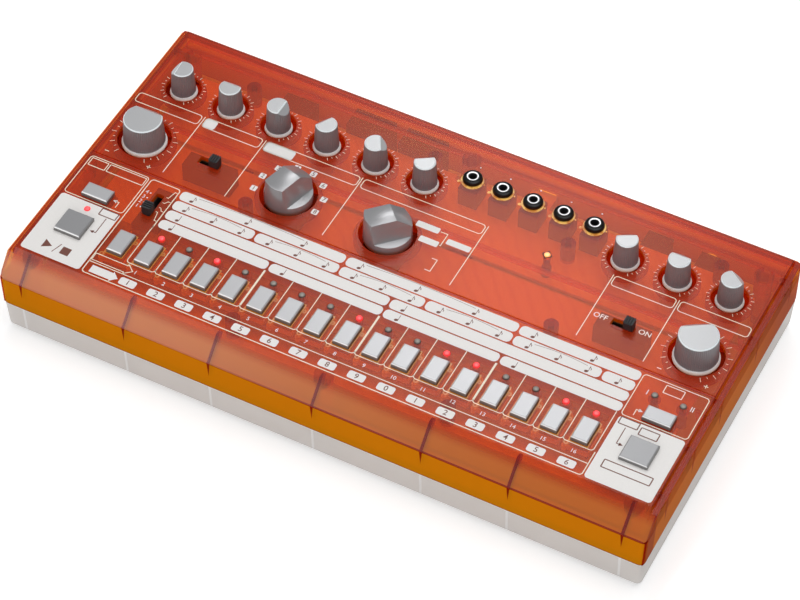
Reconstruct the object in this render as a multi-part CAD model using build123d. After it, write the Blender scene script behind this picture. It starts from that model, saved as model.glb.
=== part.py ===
from build123d import *
import math
import os

# Desktop analogue drum machine. Millimetres, X to the right, Y to the back, Z up.
# The origin is the middle of the footprint, on the table.

# Overall sizes of the case
CASE_W = 305.0
BODY_D = 161.7
TOTAL_H = 56.0

# Moulded shells
WALL = 2.2
CORNER_R = 2.5
INNER_CORNER_R = 0.6
UPPER_H = 26.6
SPLIT_DRAFT = 0.5
BASE_Z = 2.0
BASE_SIDE_DRAFT = 1.2
BASE_INSET = 0.8
FLOOR_T = 2.2
SHOULDER_W = 3.0
SHOULDER_DROP = 2.0
REAR_SHOULDER = 3.2
REAR_DRAFT = 1.8
TONGUE_H = 2.0
TONGUE_T = 1.2
TONGUE_ROOT = 4.0
TONGUE_GAP = 0.2

# Raised deck that carries every control
KNOB_RISE = 12.4
DECK_T = 2.2
DECK_EDGE_R = 0.5
SLOPE_RUN = 10.5
SLOPE_DROP = 11.2
SEAM_IN = 84.5
SEAM_W = 0.6
SEAM_DEPTH = 0.4

# Ribs and gussets under the deck
RIB_T = 1.4
GUSSET_REACH = 12.0
GUSSET_LIFT = 3.5
GUSSET_EDGE_IN = 7.8
GUSSET_OUTER_IN = 58.7
GUSSET_LEFT_IN = 100.2
GUSSET_RIGHT_IN = 98.6
SIDE_GUSSET_REACH = 7.0
SIDE_GUSSET_FRONT_V = 11.0
SIDE_GUSSET_KEY_V = 55.0
SIDE_GUSSET_KNOB_IN = 49.0
SIDE_GUSSET_REAR_IN = 12.0
CROSS_RIB_MID_IN = 52.8
CROSS_RIB_REAR_IN = 7.5
CROSS_RIB_H = 3.0

# Screws and the bosses they bite into
CASE_SCREW_D = 3.0
CASE_SCREW_L = 17.0
CASE_SCREW_FRONT_V = 0.5
CASE_SCREW_SIDE_IN = 8.8
CASE_SCREW_REAR_IN = 12.2
CASE_SCREW_MID_REAR_IN = 9.8
CASE_BOSS_TOP_R = 4.4
CASE_BOSS_R = 3.4
CASE_BOSS_FOOT_Z = 12.0
POST_R = 4.6
HEAD_D = 5.6
HEAD_H = 2.2
HEAD_SINK = 3.4
BOARD_SCREW_D = 2.2
BOARD_SCREW_L = 6.4
BOARD_HEAD_D = 4.6
BOARD_HEAD_H = 1.5
BOARD_BOSS_R = 3.2
SCREW_GAP = 0.1
SCREW_TIP_GAP = 0.5
FRONT_SCREW_V = 9.9
FRONT_SCREW_LEFT_U = 101.0
FRONT_SCREW_RIGHT_IN = 96.5
SELECTOR_SCREW_SIDE = 15.35
SELECTOR_SCREW_BELOW = 11.1
SWITCH_SCREW_SIDE = 27.5
SWITCH_SCREW_BELOW = 11.9
REAR_SCREW_IN = 15.4
REAR_SCREW_LEFT_U = 43.0
REAR_SCREW_MID_OFF = 15.2
REAR_SCREW_RIGHT_IN = 27.2
JACK_SCREW_IN = 34.3
JACK_SCREW_RIGHT_IN = 90.8
IO_SCREW_FRONT_IN = 32.0
IO_SCREW_LEFT_U = 34.0
IO_SCREW_RIGHT_IN = 25.0
IO_SCREW_REAR_IN = 7.0
IO_SCREW_USB_RIGHT_IN = 94.0
IO_SCREW_OUTPUT_U = 79.0
IO_SCREW_OUTPUT_IN = 25.0

# Boards
BOARD_T = 1.6
BOARD_DEPTH = 10.4
BOARD_SIDE_IN = 10.0
FRONT_BOARD_V = 5.5
BOARD_JOIN_IN = 54.0
BOARD_JOIN_GAP = 2.5
REAR_BOARD_IN = 12.4
BOARD_NOTCH_U = 14.5
BOARD_NOTCH_IN = 17.5
BOSS_NOTCH = 5.4
IO_DEPTH = 24.0
IO_BOARD_LEFT_U = 26.0
IO_BOARD_RIGHT_IN = 17.0
IO_BOARD_FRONT_IN = 36.0
IO_BOARD_REAR_IN = 2.0

# Spindles, knobs and the bodies under them
SPINDLE_D = 6.0
SPINDLE_FLAT = 4.5
SPINDLE_FLAT_L = 8.0
SPINDLE_GAP = 0.05
SPINDLE_SEAT_GAP = 0.02
SPINDLE_FOOT_UP = 2.4
SPINDLE_ROOF = 3.0
POT_W = 10.0
POT_D = 12.0
POT_H = 7.0
POT_NECK_D = 8.4
POT_NECK_H = 2.4
ROTARY_W = 18.0
ROTARY_H = 7.4
ROTARY_NECK_D = 10.0
KNOB_SINK = 2.4
KNOB_SKIRT_H = 1.1
KNOB_TOP_CHAMFER = 0.4
KNOB_ROOF_T = 1.6
KNOB_HUB_WALL = 1.6
SMALL_SKIRT_R = 6.3
SMALL_FOOT_R = 5.6
SMALL_TOP_R = 4.85
SMALL_FACET = 1.8
SMALL_GROOVES = 40
SMALL_HOLE_D = 16.5
LARGE_SKIRT_R = 10.2
LARGE_FOOT_R = 9.4
LARGE_TOP_R = 8.7
LARGE_WALL = 1.4
LARGE_FACET = 5.0
LARGE_GROOVES = 66
LARGE_HOLE_D = 24.4
GROOVE_W = 0.36
FACET_ANGLE = 45.0
SELECTOR_R = 10.9
SELECTOR_TOP_R = 10.3
SELECTOR_BAR_W = 10.2
SELECTOR_SHELF_H = 4.4
SELECTOR_SHELF_CHORD = 6.9
SELECTOR_SCOOP = 0.9
SELECTOR_NOSE = 2.4
SELECTOR_NOSE_ANGLE = 38.0
SELECTOR_HOLE_D = 25.9
SELECTOR_WALL = 1.6

SMALL_ROW_IN = 32.6
SMALL_FIRST_U = 16.4
SMALL_LAST_IN = 16.24
SMALL_PITCH = 24.28
LARGE_ROW_IN = 67.1
TEMPO_U = 16.3
VOLUME_IN = 16.4
INSTRUMENT_U = 88.95
MODE_U = 137.6

# Where each knob's facet looks at rest, in degrees from the right-hand side
LEFT_KNOBS = (("accent", 185.0), ("bass_drum", 90.0), ("snare_drum", 0.0),
              ("tom", 150.0), ("cymbal", 29.0), ("hi_hat", 123.0))
RIGHT_KNOBS = (("distortion", 119.0), ("tone", 90.0), ("level", 54.0))
TEMPO_FACING = 90.0
VOLUME_FACING = 122.0
INSTRUMENT_FACING = 75.0
MODE_FACING = 45.0

# Push buttons and the switches they press
BUTTON_RISE = 2.2
BUTTON_V = 21.9
STEP_W = 7.4
STEP_L = 12.5
STEP_FIRST_U = 53.2
STEP_LAST_IN = 40.0
STEP_COUNT = 16
FUNCTION_U = 39.6
START_U = 16.0
TAP_IN = 15.9
SQUARE_W = 12.8
SQUARE_L = 12.6
CLEAR_U = 15.9
GROUP_IN = 16.0
SMALL_KEY_V = 42.1
SMALL_KEY_L = 7.0
BUTTON_CHAMFER = 0.5
BUTTON_WALL = 1.1
BUTTON_ROOF_T = 1.5
BUTTON_GAP = 0.25
BUTTON_LIP = 0.8
BUTTON_LIP_T = 1.2
BUTTON_LIP_GAP = 0.1
BUTTON_TRAVEL = 1.0
TACT_W = 6.2
TACT_H = 3.6
TACT_HOLE_D = 3.6
STEM_GAP = 0.08
STEM_PLUNGE = 1.4

# Slide switches
SLIDE_BODY_W = 8.5
SLIDE_BODY_L = 23.5
SLIDE_SLOT_W = 3.9
SLIDE_NECK_W = 2.8
SLIDE_CAP_L = 4.4
SLIDE_CAP_W = 4.6
SLIDE_CAP_RISE = 4.5
SLIDE_CAP_LIFT = 0.5
SLIDE_END_GAP = 0.2
SLIDE_TRAVEL = 5.6
SCALE_TRAVEL = 8.6
SLIDE_RIDGES = 4
SLIDE_RIDGE_H = 0.5
SLIDE_BODY_GAP = 0.2
SLIDE_WELL = 5.0
SLIDE_SLIP = 0.2
KIT_U = 49.45
DISTORTION_IN = 50.1
SCALE_U = 40.1
SCALE_V = 48.0

# Patch jacks in the deck
JACK_COUNT = 5
JACK_LEAD = 1.2474
JACK_TAIL = 1.3238
JACK_ROW_IN = 22.3
JACK_W = 9.0
JACK_L = 10.5
JACK_BARREL_D = 5.9
JACK_BORE_D = 3.6
JACK_RISE = 2.3
JACK_NUT_D = 8.9
JACK_NUT_T = 2.1
JACK_HOLE_GAP = 0.15
JACK_BORE_DEPTH = 12.0

# Lamps
LAMP_D = 3.0
LAMP_GAP = 0.15
LAMP_RISE = 0.3
LAMP_FLANGE_D = 3.8
LAMP_FLANGE_T = 0.8
LAMP_SPACER_H = 5.0
LAMP_SPACER_D = 4.4
LAMP_V = 32.8
GROUP_LAMP_V = 52.6
GROUP_LAMP_ONE_IN = 22.7
GROUP_LAMP_TWO_IN = 9.9
AMBER_SIDE_IN = 95.1
AMBER_REAR_IN = 46.7

# Rear sockets
SOCKET_FACE_GAP = 0.3
PANEL_GAP = 0.2
DC_IN = 37.0
DC_W = 9.0
DC_D = 14.0
DC_H = 11.0
DC_MOUTH_D = 6.3
DC_PIN_D = 2.0
POWER_IN = 61.0
POWER_W = 12.0
POWER_H = 11.6
POWER_D = 13.0
POWER_CAP_D = 7.6
POWER_CAP_OUT = 3.0
POWER_TRAVEL = 2.0
POWER_STEM_D = 4.0
USB_IN = 117.0
USB_W = 12.0
USB_D = 16.0
USB_H = 10.8
USB_MOUTH_W = 8.9
USB_MOUTH_H = 8.2
USB_TONGUE_W = 5.6
USB_TONGUE_H = 3.0
MIDI_FAR_OFF = 51.5
MIDI_NEAR_OFF = 25.5
MIDI_W = 20.0
MIDI_D = 11.0
MIDI_H = 19.0
MIDI_MOUTH_D = 13.4
MIDI_MOUTH_DEPTH = 7.0
MIDI_PIN_D = 1.6
MIDI_PIN_R = 4.8
OUT_U = 60.0
OUT_W = 16.0
OUT_D = 24.0
OUT_H = 11.8
OUT_NOSE_D = 9.0
OUT_NOSE_OUT = 3.3
OUT_BORE_D = 6.4
OUT_NUT_D = 12.6
OUT_NUT_T = 2.4
OUT_SEAT_D = 14.6
OUT_SEAT_SINK = 1.2

# Feet
FOOT_D = 12.4
FOOT_SINK = 0.6
FOOT_GAP = 0.1
FOOT_SIDE_IN = 23.0
FOOT_FRONT_V = 4.0
FOOT_REAR_IN = 15.0

# Outlines and planes that follow from the sizes above
OVERALL_D = BODY_D + OUT_NOSE_OUT
DECK_W = CASE_W - 2 * SHOULDER_W
DECK_D = BODY_D - SLOPE_RUN - REAR_SHOULDER
SPLIT_W = CASE_W - 2 * SPLIT_DRAFT
BASE_W = CASE_W - 2 * BASE_SIDE_DRAFT
FRONT_Y = -OVERALL_D / 2
REAR_Y = FRONT_Y + BODY_D
DECK_FRONT_Y = FRONT_Y + SLOPE_RUN
DECK_Z = TOTAL_H - KNOB_RISE
DECK_UNDER_Z = DECK_Z - DECK_T
SPLIT_Z = DECK_Z - UPPER_H
GUSSET_FOOT_Z = SPLIT_Z + GUSSET_LIFT
SHOULDER_Z = DECK_Z - SHOULDER_DROP
SHOULDER_REAR_Y = REAR_Y - REAR_DRAFT
KNOB_FOOT_Z = DECK_Z - KNOB_SINK
KNOB_H = TOTAL_H - KNOB_FOOT_Z
BOARD_TOP_Z = DECK_UNDER_Z - BOARD_DEPTH
BOARD_UNDER_Z = BOARD_TOP_Z - BOARD_T
IO_TOP_Z = DECK_UNDER_Z - IO_DEPTH
IO_UNDER_Z = IO_TOP_Z - BOARD_T
POT_BORE_D = SPINDLE_D + 2 * SPINDLE_GAP
SPINDLE_FOOT_Z = BOARD_TOP_Z + SPINDLE_FOOT_UP
SPINDLE_TOP_Z = TOTAL_H - SPINDLE_ROOF
SOCKET_FACE_Y = SHOULDER_REAR_Y - WALL - SOCKET_FACE_GAP
OUT_SEAT_Y = REAR_Y - OUT_SEAT_SINK

# Rows and columns of the deck: u from its left edge, v from its front edge
MIDDLE_U = DECK_W / 2
SEAM_V = DECK_D - SEAM_IN
LARGE_V = DECK_D - LARGE_ROW_IN
SMALL_ROW_V = DECK_D - SMALL_ROW_IN
SMALL_LEFT_END_U = SMALL_FIRST_U + (len(LEFT_KNOBS) - 1) * SMALL_PITCH
SMALL_RIGHT_U = DECK_W - SMALL_LAST_IN - (len(RIGHT_KNOBS) - 1) * SMALL_PITCH
VOLUME_U = DECK_W - VOLUME_IN
STEP_PITCH = (DECK_W - STEP_LAST_IN - STEP_FIRST_U) / (STEP_COUNT - 1)
TAP_U = DECK_W - TAP_IN
GROUP_U = DECK_W - GROUP_IN
DISTORTION_U = DECK_W - DISTORTION_IN
JACK_PITCH = (SMALL_RIGHT_U - SMALL_LEFT_END_U) / (JACK_LEAD + JACK_COUNT - 1 + JACK_TAIL)
JACK_FIRST_U = SMALL_LEFT_END_U + JACK_LEAD * JACK_PITCH
JACK_V = DECK_D - JACK_ROW_IN
BOARD_SIDES_U = (BOARD_SIDE_IN, DECK_W - BOARD_SIDE_IN)
FRONT_BOARD_REAR_V = DECK_D - BOARD_JOIN_IN
REAR_BOARD_FRONT_V = FRONT_BOARD_REAR_V + BOARD_JOIN_GAP
REAR_BOARD_REAR_V = DECK_D - REAR_BOARD_IN
DC_U = DECK_W - DC_IN
POWER_U = DECK_W - POWER_IN
USB_U = DECK_W - USB_IN
MIDI_US = (MIDDLE_U - MIDI_FAR_OFF, MIDDLE_U - MIDI_NEAR_OFF)

# Gussets, ribs, screws and feet
FRONT_GUSSETS_U = (
    GUSSET_EDGE_IN,
    GUSSET_OUTER_IN,
    GUSSET_LEFT_IN,
    MIDDLE_U,
    DECK_W - GUSSET_RIGHT_IN,
    DECK_W - GUSSET_OUTER_IN,
    DECK_W - GUSSET_EDGE_IN,
)
SIDE_GUSSETS_V = (
    SIDE_GUSSET_FRONT_V,
    SIDE_GUSSET_KEY_V,
    DECK_D - SIDE_GUSSET_KNOB_IN,
    DECK_D - SIDE_GUSSET_REAR_IN,
)
CROSS_RIBS_V = (DECK_D - CROSS_RIB_MID_IN, DECK_D - CROSS_RIB_REAR_IN)
MID_REAR_SCREW = (MIDDLE_U, DECK_D - CASE_SCREW_MID_REAR_IN)
CASE_SCREW_SPOTS = (
    (GUSSET_EDGE_IN, CASE_SCREW_FRONT_V),
    (MIDDLE_U, CASE_SCREW_FRONT_V),
    (DECK_W - GUSSET_EDGE_IN, CASE_SCREW_FRONT_V),
    (CASE_SCREW_SIDE_IN, DECK_D - CASE_SCREW_REAR_IN),
    MID_REAR_SCREW,
    (DECK_W - CASE_SCREW_SIDE_IN, DECK_D - CASE_SCREW_REAR_IN),
)
FRONT_BOARD_SCREWS = (
    (INSTRUMENT_U - SELECTOR_SCREW_SIDE, LARGE_V - SELECTOR_SCREW_BELOW),
    (DISTORTION_U - SWITCH_SCREW_SIDE, LARGE_V - SWITCH_SCREW_BELOW),
    (FRONT_SCREW_LEFT_U, FRONT_SCREW_V),
    (DECK_W - FRONT_SCREW_RIGHT_IN, FRONT_SCREW_V),
)
REAR_BOARD_SCREWS = (
    (REAR_SCREW_LEFT_U, DECK_D - REAR_SCREW_IN),
    (MIDDLE_U - REAR_SCREW_MID_OFF, DECK_D - REAR_SCREW_IN),
    (DECK_W - JACK_SCREW_RIGHT_IN, DECK_D - JACK_SCREW_IN),
    (DECK_W - REAR_SCREW_RIGHT_IN, DECK_D - REAR_SCREW_IN),
)
UPPER_SCREWS = FRONT_BOARD_SCREWS + REAR_BOARD_SCREWS
IO_BOARD_SCREWS = (
    (IO_SCREW_LEFT_U, DECK_D - IO_SCREW_FRONT_IN),
    (MIDDLE_U, DECK_D - IO_SCREW_FRONT_IN),
    (DECK_W - IO_SCREW_RIGHT_IN, DECK_D - IO_SCREW_FRONT_IN),
    (IO_SCREW_OUTPUT_U, DECK_D - IO_SCREW_OUTPUT_IN),
    (DECK_W - IO_SCREW_USB_RIGHT_IN, DECK_D - IO_SCREW_REAR_IN),
)
FOOT_SPOTS = (
    (FOOT_SIDE_IN, FOOT_FRONT_V),
    (DECK_W - FOOT_SIDE_IN, FOOT_FRONT_V),
    (FOOT_SIDE_IN, DECK_D - FOOT_REAR_IN),
    (DECK_W - FOOT_SIDE_IN, DECK_D - FOOT_REAR_IN),
)


def at(u, v):
    """Place a point u from the deck's left edge and v from its front edge."""
    return (u - DECK_W / 2, DECK_FRONT_Y + v)


def peg(u, v, radius, z_low, z_high):
    """Upright round peg at a deck position."""
    x, y = at(u, v)
    return Pos(x, y, (z_low + z_high) / 2) * Cylinder(radius, z_high - z_low)


def cone_peg(u, v, r_low, r_high, z_low, z_high):
    """Upright tapered peg at a deck position."""
    x, y = at(u, v)
    return Pos(x, y, (z_low + z_high) / 2) * Cone(r_low, r_high, z_high - z_low)


def block(u0, u1, v0, v1, z0, z1):
    """Straight block between deck positions."""
    x0, y0 = at(u0, v0)
    x1, y1 = at(u1, v1)
    return Pos((x0 + x1) / 2, (y0 + y1) / 2, (z0 + z1) / 2) * Box(x1 - x0, y1 - y0, z1 - z0)


def ring_face(width, y_low, y_high, radius, z):
    """Rounded outline of the case at one height."""
    outline = RectangleRounded(width, y_high - y_low, radius)
    return Pos(0, (y_low + y_high) / 2, z) * outline


def drafted_body(low, high, inset):
    """Body between two outlines (width, front, rear, height), pulled in by inset on every side."""
    radius = max(CORNER_R - inset, INNER_CORNER_R)
    rings = []
    for width, front, rear, z in (low, high):
        rings.append(ring_face(width - 2 * inset, front + inset, rear - inset, radius, z))
    return loft(rings)


def slope_prism(back, down):
    """Everything in front of the sloping nose of the case, moved back and down."""
    reach = 8.0
    y0 = DECK_FRONT_Y + back
    z0 = DECK_Z - down
    profile = Plane.YZ * make_face(Polyline(
        (y0 + SLOPE_RUN / SLOPE_DROP * reach, z0 + reach),
        (y0 - SLOPE_RUN - reach, z0 - SLOPE_DROP * (1 + reach / SLOPE_RUN)),
        (y0 - SLOPE_RUN - 4 * reach, z0 - SLOPE_DROP * (1 + reach / SLOPE_RUN)),
        (y0 - SLOPE_RUN - 4 * reach, z0 + reach),
        close=True,
    ))
    return extrude(profile, amount=CASE_W, both=True)


def slide_switches_layout():
    """Centre, direction, travel and rest side of the three slide switches."""
    return {
        "kit": (KIT_U, LARGE_V, 0.0, SLIDE_TRAVEL, 1),
        "distortion": (DISTORTION_U, LARGE_V, 0.0, SLIDE_TRAVEL, 1),
        "scale": (SCALE_U, SCALE_V, 90.0, SCALE_TRAVEL, -1),
    }


def button_layout():
    """Name, centre and size of every push button."""
    keys = {}
    for i in range(STEP_COUNT):
        keys[f"step_button_{i + 1:02d}"] = (STEP_FIRST_U + i * STEP_PITCH, BUTTON_V, STEP_W, STEP_L)
    keys["function_button"] = (FUNCTION_U, BUTTON_V, STEP_W, STEP_L)
    keys["start_stop_button"] = (START_U, BUTTON_V, SQUARE_W, SQUARE_L)
    keys["tap_button"] = (TAP_U, BUTTON_V, SQUARE_W, SQUARE_L)
    keys["clear_button"] = (CLEAR_U, SMALL_KEY_V, SQUARE_W, SMALL_KEY_L)
    keys["pattern_group_button"] = (GROUP_U, SMALL_KEY_V, SQUARE_W, SMALL_KEY_L)
    return keys


def small_knob_layout():
    """Name, centre and facing of the nine small knobs."""
    knobs = {}
    for first_u, group in ((SMALL_FIRST_U, LEFT_KNOBS), (SMALL_RIGHT_U, RIGHT_KNOBS)):
        for i, (name, facing) in enumerate(group):
            knobs[name] = (first_u + i * SMALL_PITCH, SMALL_ROW_V, facing)
    return knobs


def lamp_layout():
    """Centres of every lamp in the deck."""
    spots = [(STEP_FIRST_U + i * STEP_PITCH, LAMP_V) for i in range(STEP_COUNT)]
    spots.append((START_U, LAMP_V))
    spots += [(DECK_W - inset, GROUP_LAMP_V) for inset in (GROUP_LAMP_ONE_IN, GROUP_LAMP_TWO_IN)]
    spots.append((DECK_W - AMBER_SIDE_IN, DECK_D - AMBER_REAR_IN))
    return spots


def jack_layout():
    """Centres of the patch jacks."""
    return [(JACK_FIRST_U + i * JACK_PITCH, JACK_V) for i in range(JACK_COUNT)]


# ---------------------------------------------------------------- upper case
def deck_windows():
    """One sketch of every opening in the deck."""
    openings = Sketch()
    for u, v, width, length in button_layout().values():
        hole = RectangleRounded(width + 2 * BUTTON_GAP, length + 2 * BUTTON_GAP, BUTTON_CHAMFER)
        openings += Pos(*at(u, v)) * hole
    for u, v, facing in small_knob_layout().values():
        openings += Pos(*at(u, v)) * Circle(SMALL_HOLE_D / 2)
    for u in (TEMPO_U, VOLUME_U):
        openings += Pos(*at(u, LARGE_V)) * Circle(LARGE_HOLE_D / 2)
    for u in (INSTRUMENT_U, MODE_U):
        openings += Pos(*at(u, LARGE_V)) * Circle(SELECTOR_HOLE_D / 2)
    for u, v in jack_layout():
        openings += Pos(*at(u, v)) * Circle(JACK_BARREL_D / 2 + JACK_HOLE_GAP)
    for u, v in lamp_layout():
        openings += Pos(*at(u, v)) * Circle(LAMP_D / 2 + LAMP_GAP)
    for u, v, turn, travel, side in slide_switches_layout().values():
        slot = Rectangle(travel + SLIDE_CAP_L + 2 * SLIDE_END_GAP, SLIDE_SLOT_W)
        openings += Pos(*at(u, v)) * Rot(0, 0, turn) * slot
    return openings


def rear_openings():
    """Cuts in the back wall for the sockets and the power button."""
    depth = 4 * WALL
    y = REAR_Y - depth / 4
    cuts = Pos(at(DC_U, 0)[0], y, IO_TOP_Z + DC_H / 2 + PANEL_GAP) * Rot(90, 0, 0) * Cylinder(
        DC_W / 2 - PANEL_GAP, depth)
    cuts += Pos(at(POWER_U, 0)[0], y, IO_TOP_Z + POWER_H / 2) * Rot(90, 0, 0) * Cylinder(
        POWER_CAP_D / 2 + PANEL_GAP, depth)
    cuts += Pos(at(USB_U, 0)[0], y, IO_TOP_Z + USB_H / 2) * Box(
        USB_MOUTH_W + 2 * PANEL_GAP, depth, USB_MOUTH_H + 2 * PANEL_GAP)
    for u in MIDI_US:
        cuts += Pos(at(u, 0)[0], y, IO_TOP_Z + MIDI_H / 2) * Rot(90, 0, 0) * Cylinder(
            MIDI_MOUTH_D / 2 + PANEL_GAP, depth)
    cuts += Pos(at(OUT_U, 0)[0], y, IO_TOP_Z + OUT_H / 2) * Rot(90, 0, 0) * Cylinder(
        OUT_NOSE_D / 2 + PANEL_GAP, depth)
    seat = Pos(at(OUT_U, 0)[0], OUT_SEAT_Y + depth / 2, IO_TOP_Z + OUT_H / 2) * Rot(90, 0, 0) * Cylinder(
        OUT_SEAT_D / 2, depth)
    return cuts + seat


def upper_case():
    split = (SPLIT_W, FRONT_Y, REAR_Y, SPLIT_Z)
    shoulder = (CASE_W, FRONT_Y, SHOULDER_REAR_Y, SHOULDER_Z)
    body = drafted_body(split, shoulder, 0.0)
    plateau = block(0, DECK_W, -SLOPE_RUN, DECK_D, SHOULDER_Z - 1, DECK_Z)
    outer = body + plateau - slope_prism(0, 0)
    rim = outer.edges().filter_by_position(Axis.Z, DECK_Z - 0.01, DECK_Z + 0.01)
    outer = fillet(rim, DECK_EDGE_R)

    slope_l = math.hypot(SLOPE_RUN, SLOPE_DROP)
    inner = drafted_body(split, shoulder, WALL)
    inner -= Pos(0, 0, SHOULDER_Z) * Box(2 * CASE_W, 2 * CASE_W, 2 * DECK_T)
    pocket = block(WALL, DECK_W - WALL, -SLOPE_RUN + WALL, DECK_D - WALL, SPLIT_Z + 1, DECK_UNDER_Z)
    hollow = inner + pocket - slope_prism(WALL * SLOPE_DROP / slope_l, WALL * SLOPE_RUN / slope_l)

    stays = Part()
    for u in FRONT_GUSSETS_U:
        x = at(u, 0)[0]
        fin = Plane.YZ * make_face(Polyline(
            (FRONT_Y + WALL / 2, GUSSET_FOOT_Z),
            (FRONT_Y + WALL / 2, DECK_Z - SLOPE_DROP / 2),
            (DECK_FRONT_Y - WALL, DECK_UNDER_Z + WALL / 2),
            (DECK_FRONT_Y + GUSSET_REACH - SLOPE_RUN, DECK_UNDER_Z + WALL / 2),
            (FRONT_Y + WALL + RIB_T, GUSSET_FOOT_Z),
            close=True,
        ))
        stays += Pos(x, 0, 0) * extrude(fin, amount=RIB_T / 2, both=True)
    for v in SIDE_GUSSETS_V:
        y = at(0, v)[1]
        for side in (-1, 1):
            wall_x = SPLIT_W / 2 - WALL / 2
            fin = Plane.XZ * make_face(Polyline(
                (side * wall_x, GUSSET_FOOT_Z),
                (side * wall_x, DECK_UNDER_Z - WALL / 2),
                (side * (wall_x - SIDE_GUSSET_REACH), DECK_UNDER_Z + WALL / 2),
                (side * (wall_x - WALL), GUSSET_FOOT_Z),
                close=True,
            ))
            stays += Pos(0, y, 0) * extrude(fin, amount=RIB_T / 2, both=True)
    for v in CROSS_RIBS_V:
        stays += block(WALL / 2, DECK_W - WALL / 2, v - RIB_T / 2, v + RIB_T / 2,
                       DECK_UNDER_Z - CROSS_RIB_H, DECK_UNDER_Z + WALL / 2)
    rooted = DECK_UNDER_Z + WALL / 2
    for u, v in CASE_SCREW_SPOTS:
        stays += cone_peg(u, v, CASE_BOSS_R, CASE_BOSS_TOP_R, CASE_BOSS_FOOT_Z, rooted)
    for u, v in UPPER_SCREWS:
        stays += peg(u, v, BOARD_BOSS_R, BOARD_TOP_Z, rooted)
    below = block(-SLOPE_RUN, DECK_W + SLOPE_RUN, -SLOPE_RUN + WALL, DECK_D, BASE_Z, SPLIT_Z + 1)
    keep = outer + below
    case = outer - hollow + (stays & keep)

    windows = extrude(Pos(0, 0, DECK_UNDER_Z - CROSS_RIB_H - 1) * deck_windows(),
                      amount=DECK_T + CROSS_RIB_H + 2)
    case -= windows
    case -= rear_openings()
    case -= block(-1, DECK_W + 1, SEAM_V - SEAM_W / 2, SEAM_V + SEAM_W / 2,
                  DECK_Z - SEAM_DEPTH, DECK_Z + 1)
    case_pilot_r = (CASE_SCREW_D + SCREW_GAP) / 2
    board_pilot_r = (BOARD_SCREW_D + SCREW_GAP) / 2
    for u, v in CASE_SCREW_SPOTS:
        case -= peg(u, v, case_pilot_r, CASE_BOSS_FOOT_Z - 1, CASE_BOSS_FOOT_Z + CASE_SCREW_L)
    for u, v in UPPER_SCREWS:
        case -= peg(u, v, board_pilot_r, BOARD_TOP_Z - 1, BOARD_TOP_Z + BOARD_SCREW_L)
    return case


# ---------------------------------------------------------------- lower case
def lower_case():
    base = (BASE_W, FRONT_Y + BASE_INSET, REAR_Y - BASE_INSET, BASE_Z)
    outer = drafted_body(base, (SPLIT_W, FRONT_Y, REAR_Y, SPLIT_Z), 0.0)
    foot_edge = outer.edges().filter_by_position(Axis.Z, BASE_Z - 0.01, BASE_Z + 0.01)
    outer = fillet(foot_edge, CORNER_R - 1)
    hollow = drafted_body(base, (SPLIT_W, FRONT_Y, REAR_Y, SPLIT_Z + 0.01), WALL)
    hollow -= Pos(0, 0, BASE_Z) * Box(2 * CASE_W, 2 * CASE_W, 2 * FLOOR_T)
    tray = outer - hollow

    tongue_in = WALL + TONGUE_GAP + TONGUE_T
    ring = ring_face(SPLIT_W - 2 * WALL - 2 * TONGUE_GAP, FRONT_Y + WALL + TONGUE_GAP,
                     REAR_Y - WALL - TONGUE_GAP, TONGUE_T, SPLIT_Z - TONGUE_ROOT)
    root = ring_face(SPLIT_W - WALL, FRONT_Y + WALL / 2, REAR_Y - WALL / 2, TONGUE_T,
                     SPLIT_Z - TONGUE_ROOT)
    bore = ring_face(SPLIT_W - 2 * tongue_in, FRONT_Y + tongue_in, REAR_Y - tongue_in, TONGUE_T / 2,
                     SPLIT_Z - TONGUE_ROOT)
    tongue = extrude(ring, amount=TONGUE_ROOT + TONGUE_H) + extrude(root, amount=TONGUE_ROOT)
    tongue -= extrude(bore, amount=TONGUE_ROOT + TONGUE_H)
    tongue -= Pos(0, REAR_Y, SPLIT_Z + TONGUE_H) * Box(CASE_W, 2 * tongue_in + 8 * WALL, 2 * TONGUE_H)
    tray += tongue

    for u, v in CASE_SCREW_SPOTS:
        tray += peg(u, v, POST_R, BASE_Z + FLOOR_T / 2, CASE_BOSS_FOOT_Z)
    for u, v in IO_BOARD_SCREWS:
        tray += peg(u, v, BOARD_BOSS_R, BASE_Z + FLOOR_T / 2, IO_UNDER_Z)
    rib_foot = BASE_Z + FLOOR_T / 2
    rib_top = BASE_Z + FLOOR_T + CROSS_RIB_H
    for u in FRONT_GUSSETS_U[1:-1]:
        tray += block(u - RIB_T / 2, u + RIB_T / 2, -SLOPE_RUN + WALL, DECK_D - WALL, rib_foot, rib_top)
    tray += block(WALL, DECK_W - WALL, SEAM_V - RIB_T / 2, SEAM_V + RIB_T / 2, rib_foot, rib_top)

    for u, v in CASE_SCREW_SPOTS:
        tray -= peg(u, v, CASE_SCREW_D / 2 + SCREW_GAP, BASE_Z - 1, CASE_BOSS_FOOT_Z + 1)
        tray -= peg(u, v, HEAD_D / 2 + SCREW_GAP, BASE_Z - 1, BASE_Z + HEAD_SINK + HEAD_H)
    for u, v in IO_BOARD_SCREWS:
        tray -= peg(u, v, (BOARD_SCREW_D + SCREW_GAP) / 2, IO_UNDER_Z - BOARD_SCREW_L, IO_UNDER_Z + 1)
    for u, v in FOOT_SPOTS:
        tray -= peg(u, v, FOOT_D / 2 + FOOT_GAP, BASE_Z - 1, BASE_Z + FOOT_SINK)
    return tray


def feet():
    pads = []
    for u, v in FOOT_SPOTS:
        pad = peg(u, v, FOOT_D / 2, 0, BASE_Z + FOOT_SINK)
        sole = pad.edges().filter_by_position(Axis.Z, -0.01, 0.01)
        pads.append(chamfer(sole, FOOT_SINK))
    return pads


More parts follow.
